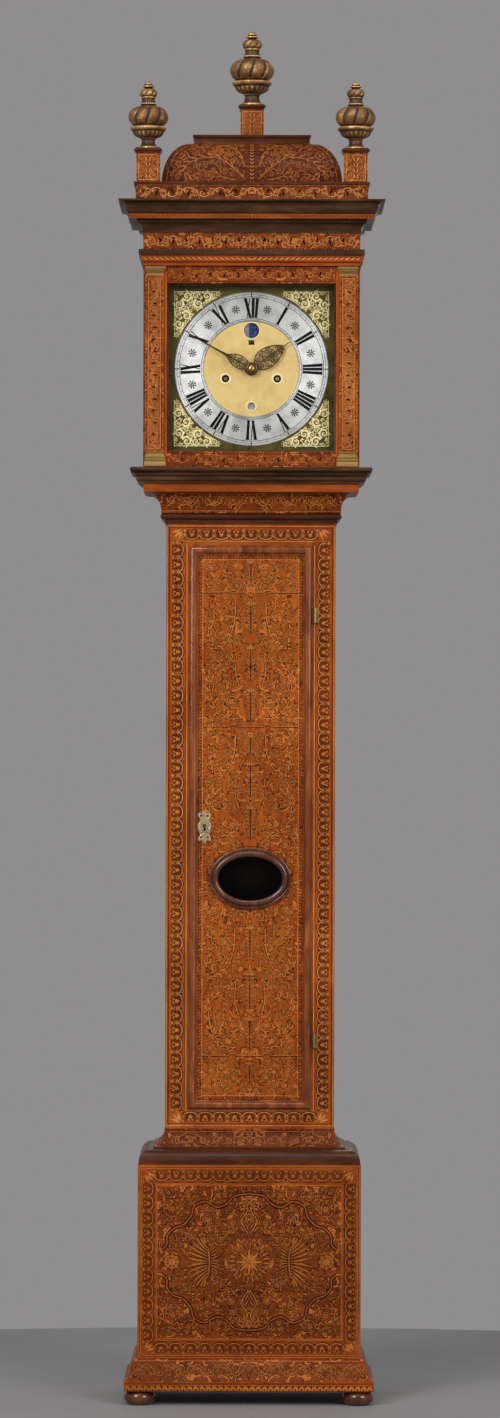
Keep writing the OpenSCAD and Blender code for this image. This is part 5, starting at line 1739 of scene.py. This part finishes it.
def corner_casting():
    """Four pierced corners of cast and gilt scrolls, the same on both sides of their diagonal."""
    def turned_to(flip, su, sv):
        return lambda u, v: (su * (v if flip else u), DIAL_Z + sv * (u if flip else v))

    mirrors = [turned_to(flip, su, sv) for flip in (False, True) for su in (-1, 1) for sv in (-1, 1)]
    art = Inlay(flat(DIAL_Y), mirrors, lift={PALE: 2.3, INK: 1.6}, sunk=0.1, section=Inlay.ROUND)
    rng = random.Random(41)

    def room(u, v):
        return min(139.0 - v, 139.0 - u, hypot(u, v) - 142.5, (v - u) / sqrt(2) - 0.4)

    for u, v, r in packed(rng, room, (58, 139, 58, 139), 8.0, 1.7, 900):
        way = 1 if rng.random() < 0.5 else -1
        if r < 3.2:
            art.flower(u, v, r * 1.1, 5, rng.uniform(0, 2))
            continue
        steps = 20
        start = rng.uniform(0, 2 * pi)
        path = []
        for i in range(steps + 1):
            t = i / steps
            reach = r * (1.0 - 0.72 * t)
            path.append((u + reach * cos(start + way * 8.2 * t), v + reach * sin(start + way * 8.2 * t)))
        art.ribbon(path, [r * (0.46 - 0.2 * i / steps) for i in range(steps + 1)])
        art.flower(u, v, r * 0.34, 5)
        for k in range(6):
            angle = start + k * 1.05
            art.leaf(u + r * 0.9 * cos(angle), v + r * 0.9 * sin(angle), angle + way * 0.7, r * 0.62, r * 0.3,
                     bend=way * 0.8, tone=INK)
    # Border rails
    art.ribbon([(61 + 7.8 * k, 138.4) for k in range(11)], 1.6, INK)
    art.ribbon([(142.6 * sin(radians(25.5 + k * 2)), 142.6 * cos(radians(25.5 + k * 2))) for k in range(10)],
               1.6, INK)
    art.pile.piece("corner_castings", "case", ["gilt"], "gilt_brass", ["spandrels"], sharp=60)


def hands():
    """The pierced hour hand and the long minute hand, with their collet and boss."""
    def along_hand(angle, back):
        turn = radians(angle)
        return lambda u, v, h: (u * cos(turn) + v * sin(turn), back - h,
                                DIAL_Z - u * sin(turn) + v * cos(turn))

    def pierced(art, rng, outline):
        """Fills a hand's outline, given as (half width, distance along), with cast curls that touch."""
        low, high = outline[0][1], outline[-1][1]

        def half_at(v):
            for (ua, va), (ub, vb) in zip(outline, outline[1:]):
                if va <= v <= vb:
                    return ua + (ub - ua) * (v - va) / (vb - va)
            return 0.0

        def room(u, v):
            return min(half_at(v) - 0.8 - u, u - 0.2, v - low - 0.4, high - v)

        for u, v, r in packed(rng, room, (0, 18, low, high), 4.4, 1.5, 500, 0.8):
            way = 1 if rng.random() < 0.5 else -1
            start = rng.uniform(0, 2 * pi)
            path = [(u + r * (1 - 0.8 * i / 14) * cos(start + way * 0.6 * i),
                     v + r * (1 - 0.8 * i / 14) * sin(start + way * 0.6 * i)) for i in range(15)]
            art.ribbon(path, max(r * 0.4, 1.1))

    lift = {PALE: 1.4}
    hour_back, minute_back = -50.1, -55.6
    hour = Inlay(along_hand(55.0, hour_back), MIRRORED, lift, 0.0, Inlay.ROUND)
    pierced(hour, random.Random(4), [(4, 9), (10, 14), (16, 22), (17.8, 34), (15.8, 46), (11.4, 57), (6, 66),
                                     (2.4, 72)])
    rail = [(1.2, 11), (9, 12.5), (15.5, 22), (17.6, 34), (15.6, 46), (11, 57), (6, 65), (2.4, 70)]
    hour.ribbon(smooth_path(rail, 5), 2.2)
    hour.ribbon([(0.5, 10), (0.5, 30), (0.5, 60), (0.4, 86)], [2.0, 1.4, 1.8, 0.5])
    collet = [(5.3, 0), (5.3, 1.2), (6.4, 1.4), (11.4, 1.4), (12, 0.9), (12, 0)]
    turned(hour.pile, collet, 0, DIAL_Z, hour_back, 64, closed=True)
    hour.pile.piece("pierced_hour_hand", "hour", ["hand"], "gilt_brass", ["hour_hand"], sharp=60)

    minute = Inlay(along_hand(298.8, minute_back), MIRRORED, lift, 0.0, Inlay.ROUND)
    pierced(minute, random.Random(7), [(3, 8), (8, 12), (10.8, 20), (10.8, 30), (8.4, 39), (4, 46),
                                       (1.6, 52)])
    rail = [(1.0, 9), (7, 10), (10.6, 20), (11.0, 30), (8.4, 39), (3.4, 47), (1.4, 52)]
    minute.ribbon(smooth_path(rail, 5), 1.9)
    minute.ribbon([(0.5, 8), (0.7, 40), (1.2, 54), (0.85, 62), (0.4, 128.5)], [1.6, 1.6, 2.6, 1.7, 0.7])
    collet = [(1.62, 0), (1.62, 1.2), (2.4, 1.4), (10.4, 1.4), (11, 0.9), (11, 0)]
    turned(minute.pile, collet, 0, DIAL_Z, minute_back, 64, closed=True)
    boss = [(1.6, 0.2), (1.6, 3.4), (3.2, 3.3), (5.2, 2.4), (6.2, 1.2), (6.5, 0.2)]
    turned(minute.pile, boss, 0, DIAL_Z, minute_back - 1.4, 48, 1, True)
    minute.pile.piece("pierced_minute_hand", "minute", ["hand", "brass"], "gilt_brass", ["minute_hand"],
                      sharp=60)


# ---------------------------------------------------------------- inside, carried over from the frame

def assign(node, finish):
    """Gives a carried-over CAD node its material."""
    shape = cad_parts[node]
    shape.data.materials.clear()
    shape.data.materials.append(FINISH[finish])


def insides():
    """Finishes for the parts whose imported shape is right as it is."""
    finishes = {
        "oak": ("backboard", "seatboard"),
        "olive": ("dial_mask",),
        "burr": ("hood_sides",),
        "hood_glass": ("hood_windows",),
        "plate": ("dial_plate",),
        # The movement plates take the dark hand brass as painted shade, so they look dark through the dial's
        # holes.
        "hand": ("movement_plates",),
        "brass": ("movement_pillars", "bell", "hood_door_pivots", "centre_wheel", "hour_wheel",
                  "minute_wheel", "third_wheel", "escape_wheel", "going_great_wheel", "strike_great_wheel",
                  "pin_wheel", "going_barrel", "strike_barrel", "pendulum_bob", "going_weight",
                  "strike_weight"),
        "capital": ("trunk_fittings",),
        "steel": ("door_lock", "lock_bolt", "anchor", "pendulum_rod", "hammer"),
        "silver": ("date_ring",),
        "blue": ("moon_disc",),
    }
    for finish, nodes in finishes.items():
        for node in nodes:
            assign(node, finish)


GUT_RADIUS = 1.1
BARREL_FOOT = 1834.5


def gut_lines():
    """Four falls of twisted gut."""
    for side in ("going", "strike"):
        node = side + "_line"
        low, high = box_of(node)
        y = (low[1] + high[1]) / 2
        bottom = low[2]
        for part, x, top in (("fall", low[0] + GUT_RADIUS, BARREL_FOOT),
                             ("tail", high[0] - GUT_RADIUS, SEAT_FOOT)):
            pile = Pile()
            rings = []
            steps = int((top - bottom) / 9)
            for i in range(steps + 1):
                z = bottom + (top - bottom) * i / steps
                rings.append([(x + 1.05 * cos(k * pi / 4 + i * 1.1) * (1 - 0.14 * (k % 2)),
                               y + 1.05 * sin(k * pi / 4 + i * 1.1) * (1 - 0.14 * (k % 2)), z)
                              for k in range(8)])
            strip(pile, rings)
            made = pile.piece(side + "_gut_" + part, "case", ["gut"], "gut", [node], sharp=80)
            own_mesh(made)


# ---------------------------------------------------------------- floor, light and camera

# Each lamp's place, the width and height of its panel, and its power in watts
LAMPS = {
    "key": ((-2.6, -4.2, 3.6), (1.8, 2.2), 150),
    "fill": ((3.0, -4.0, 2.6), (2.0, 2.2), 95),
    "top": ((0.0, -1.6, 4.6), (2.4, 1.6), 34),
    "rear": ((0.6, 4.0, 3.0), (2.4, 2.0), 16),
}
LAMPS_AIM = Vector((0, 0, 1.25))


def stage():
    """A pale grey floor under an even grey sky, and four soft panels of light. Lengths here are metres."""
    bpy.ops.mesh.primitive_circle_add(vertices=96, radius=2.6, fill_type="NGON", location=(0, -1.5, 0))
    floor = bpy.context.active_object
    floor.name = "studio_floor"
    paint = Shader("studio_paint")
    paint.feed("Base Color", paint.ramp(paint.noise(3.0),
                                        [(0.3, srgb(138, 137, 137)), (0.7, srgb(146, 145, 145))]))
    paint.set(Roughness=0.8)
    floor.data.materials.append(paint.material)

    world = bpy.data.worlds.new("studio")
    world.use_nodes = True
    sky = world.node_tree.nodes["Background"]
    sky.inputs["Color"].default_value = srgb(143, 141, 142)
    sky.inputs["Strength"].default_value = 1.0
    bpy.context.scene.world = world

    for name, (place, size, power) in LAMPS.items():
        lamp = bpy.data.lights.new(name, "AREA")
        lamp.shape = "RECTANGLE"
        lamp.size, lamp.size_y = size
        lamp.energy = power
        holder = bpy.data.objects.new(name, lamp)
        holder.location = place
        holder.rotation_euler = (LAMPS_AIM - Vector(place)).to_track_quat("-Z", "Y").to_euler()
        bpy.context.scene.collection.objects.link(holder)


def camera():
    """Level with the middle of the clock, far back, as the photograph was taken."""
    view = bpy.data.cameras.new("camera")
    view.sensor_fit = "VERTICAL"
    view.sensor_height = 36
    view.lens = 135
    holder = bpy.data.objects.new("camera", view)
    holder.location = (-0.001, -9.585, 1.242)
    holder.rotation_euler = (pi / 2, radians(-0.15), 0)
    bpy.context.scene.collection.objects.link(holder)
    bpy.context.scene.camera = holder


camera()
carcase()
mouldings()
trunk_border()
base_panel()
moulding_inlays()
side_inlays()
caddy()
pedestals()
finials()
hood_door()
trunk_door()
door_marquetry()
dial()
corner_casting()
hands()
insides()
gut_lines()
stage()
bpy.context.scene.view_settings.view_transform = "Standard"
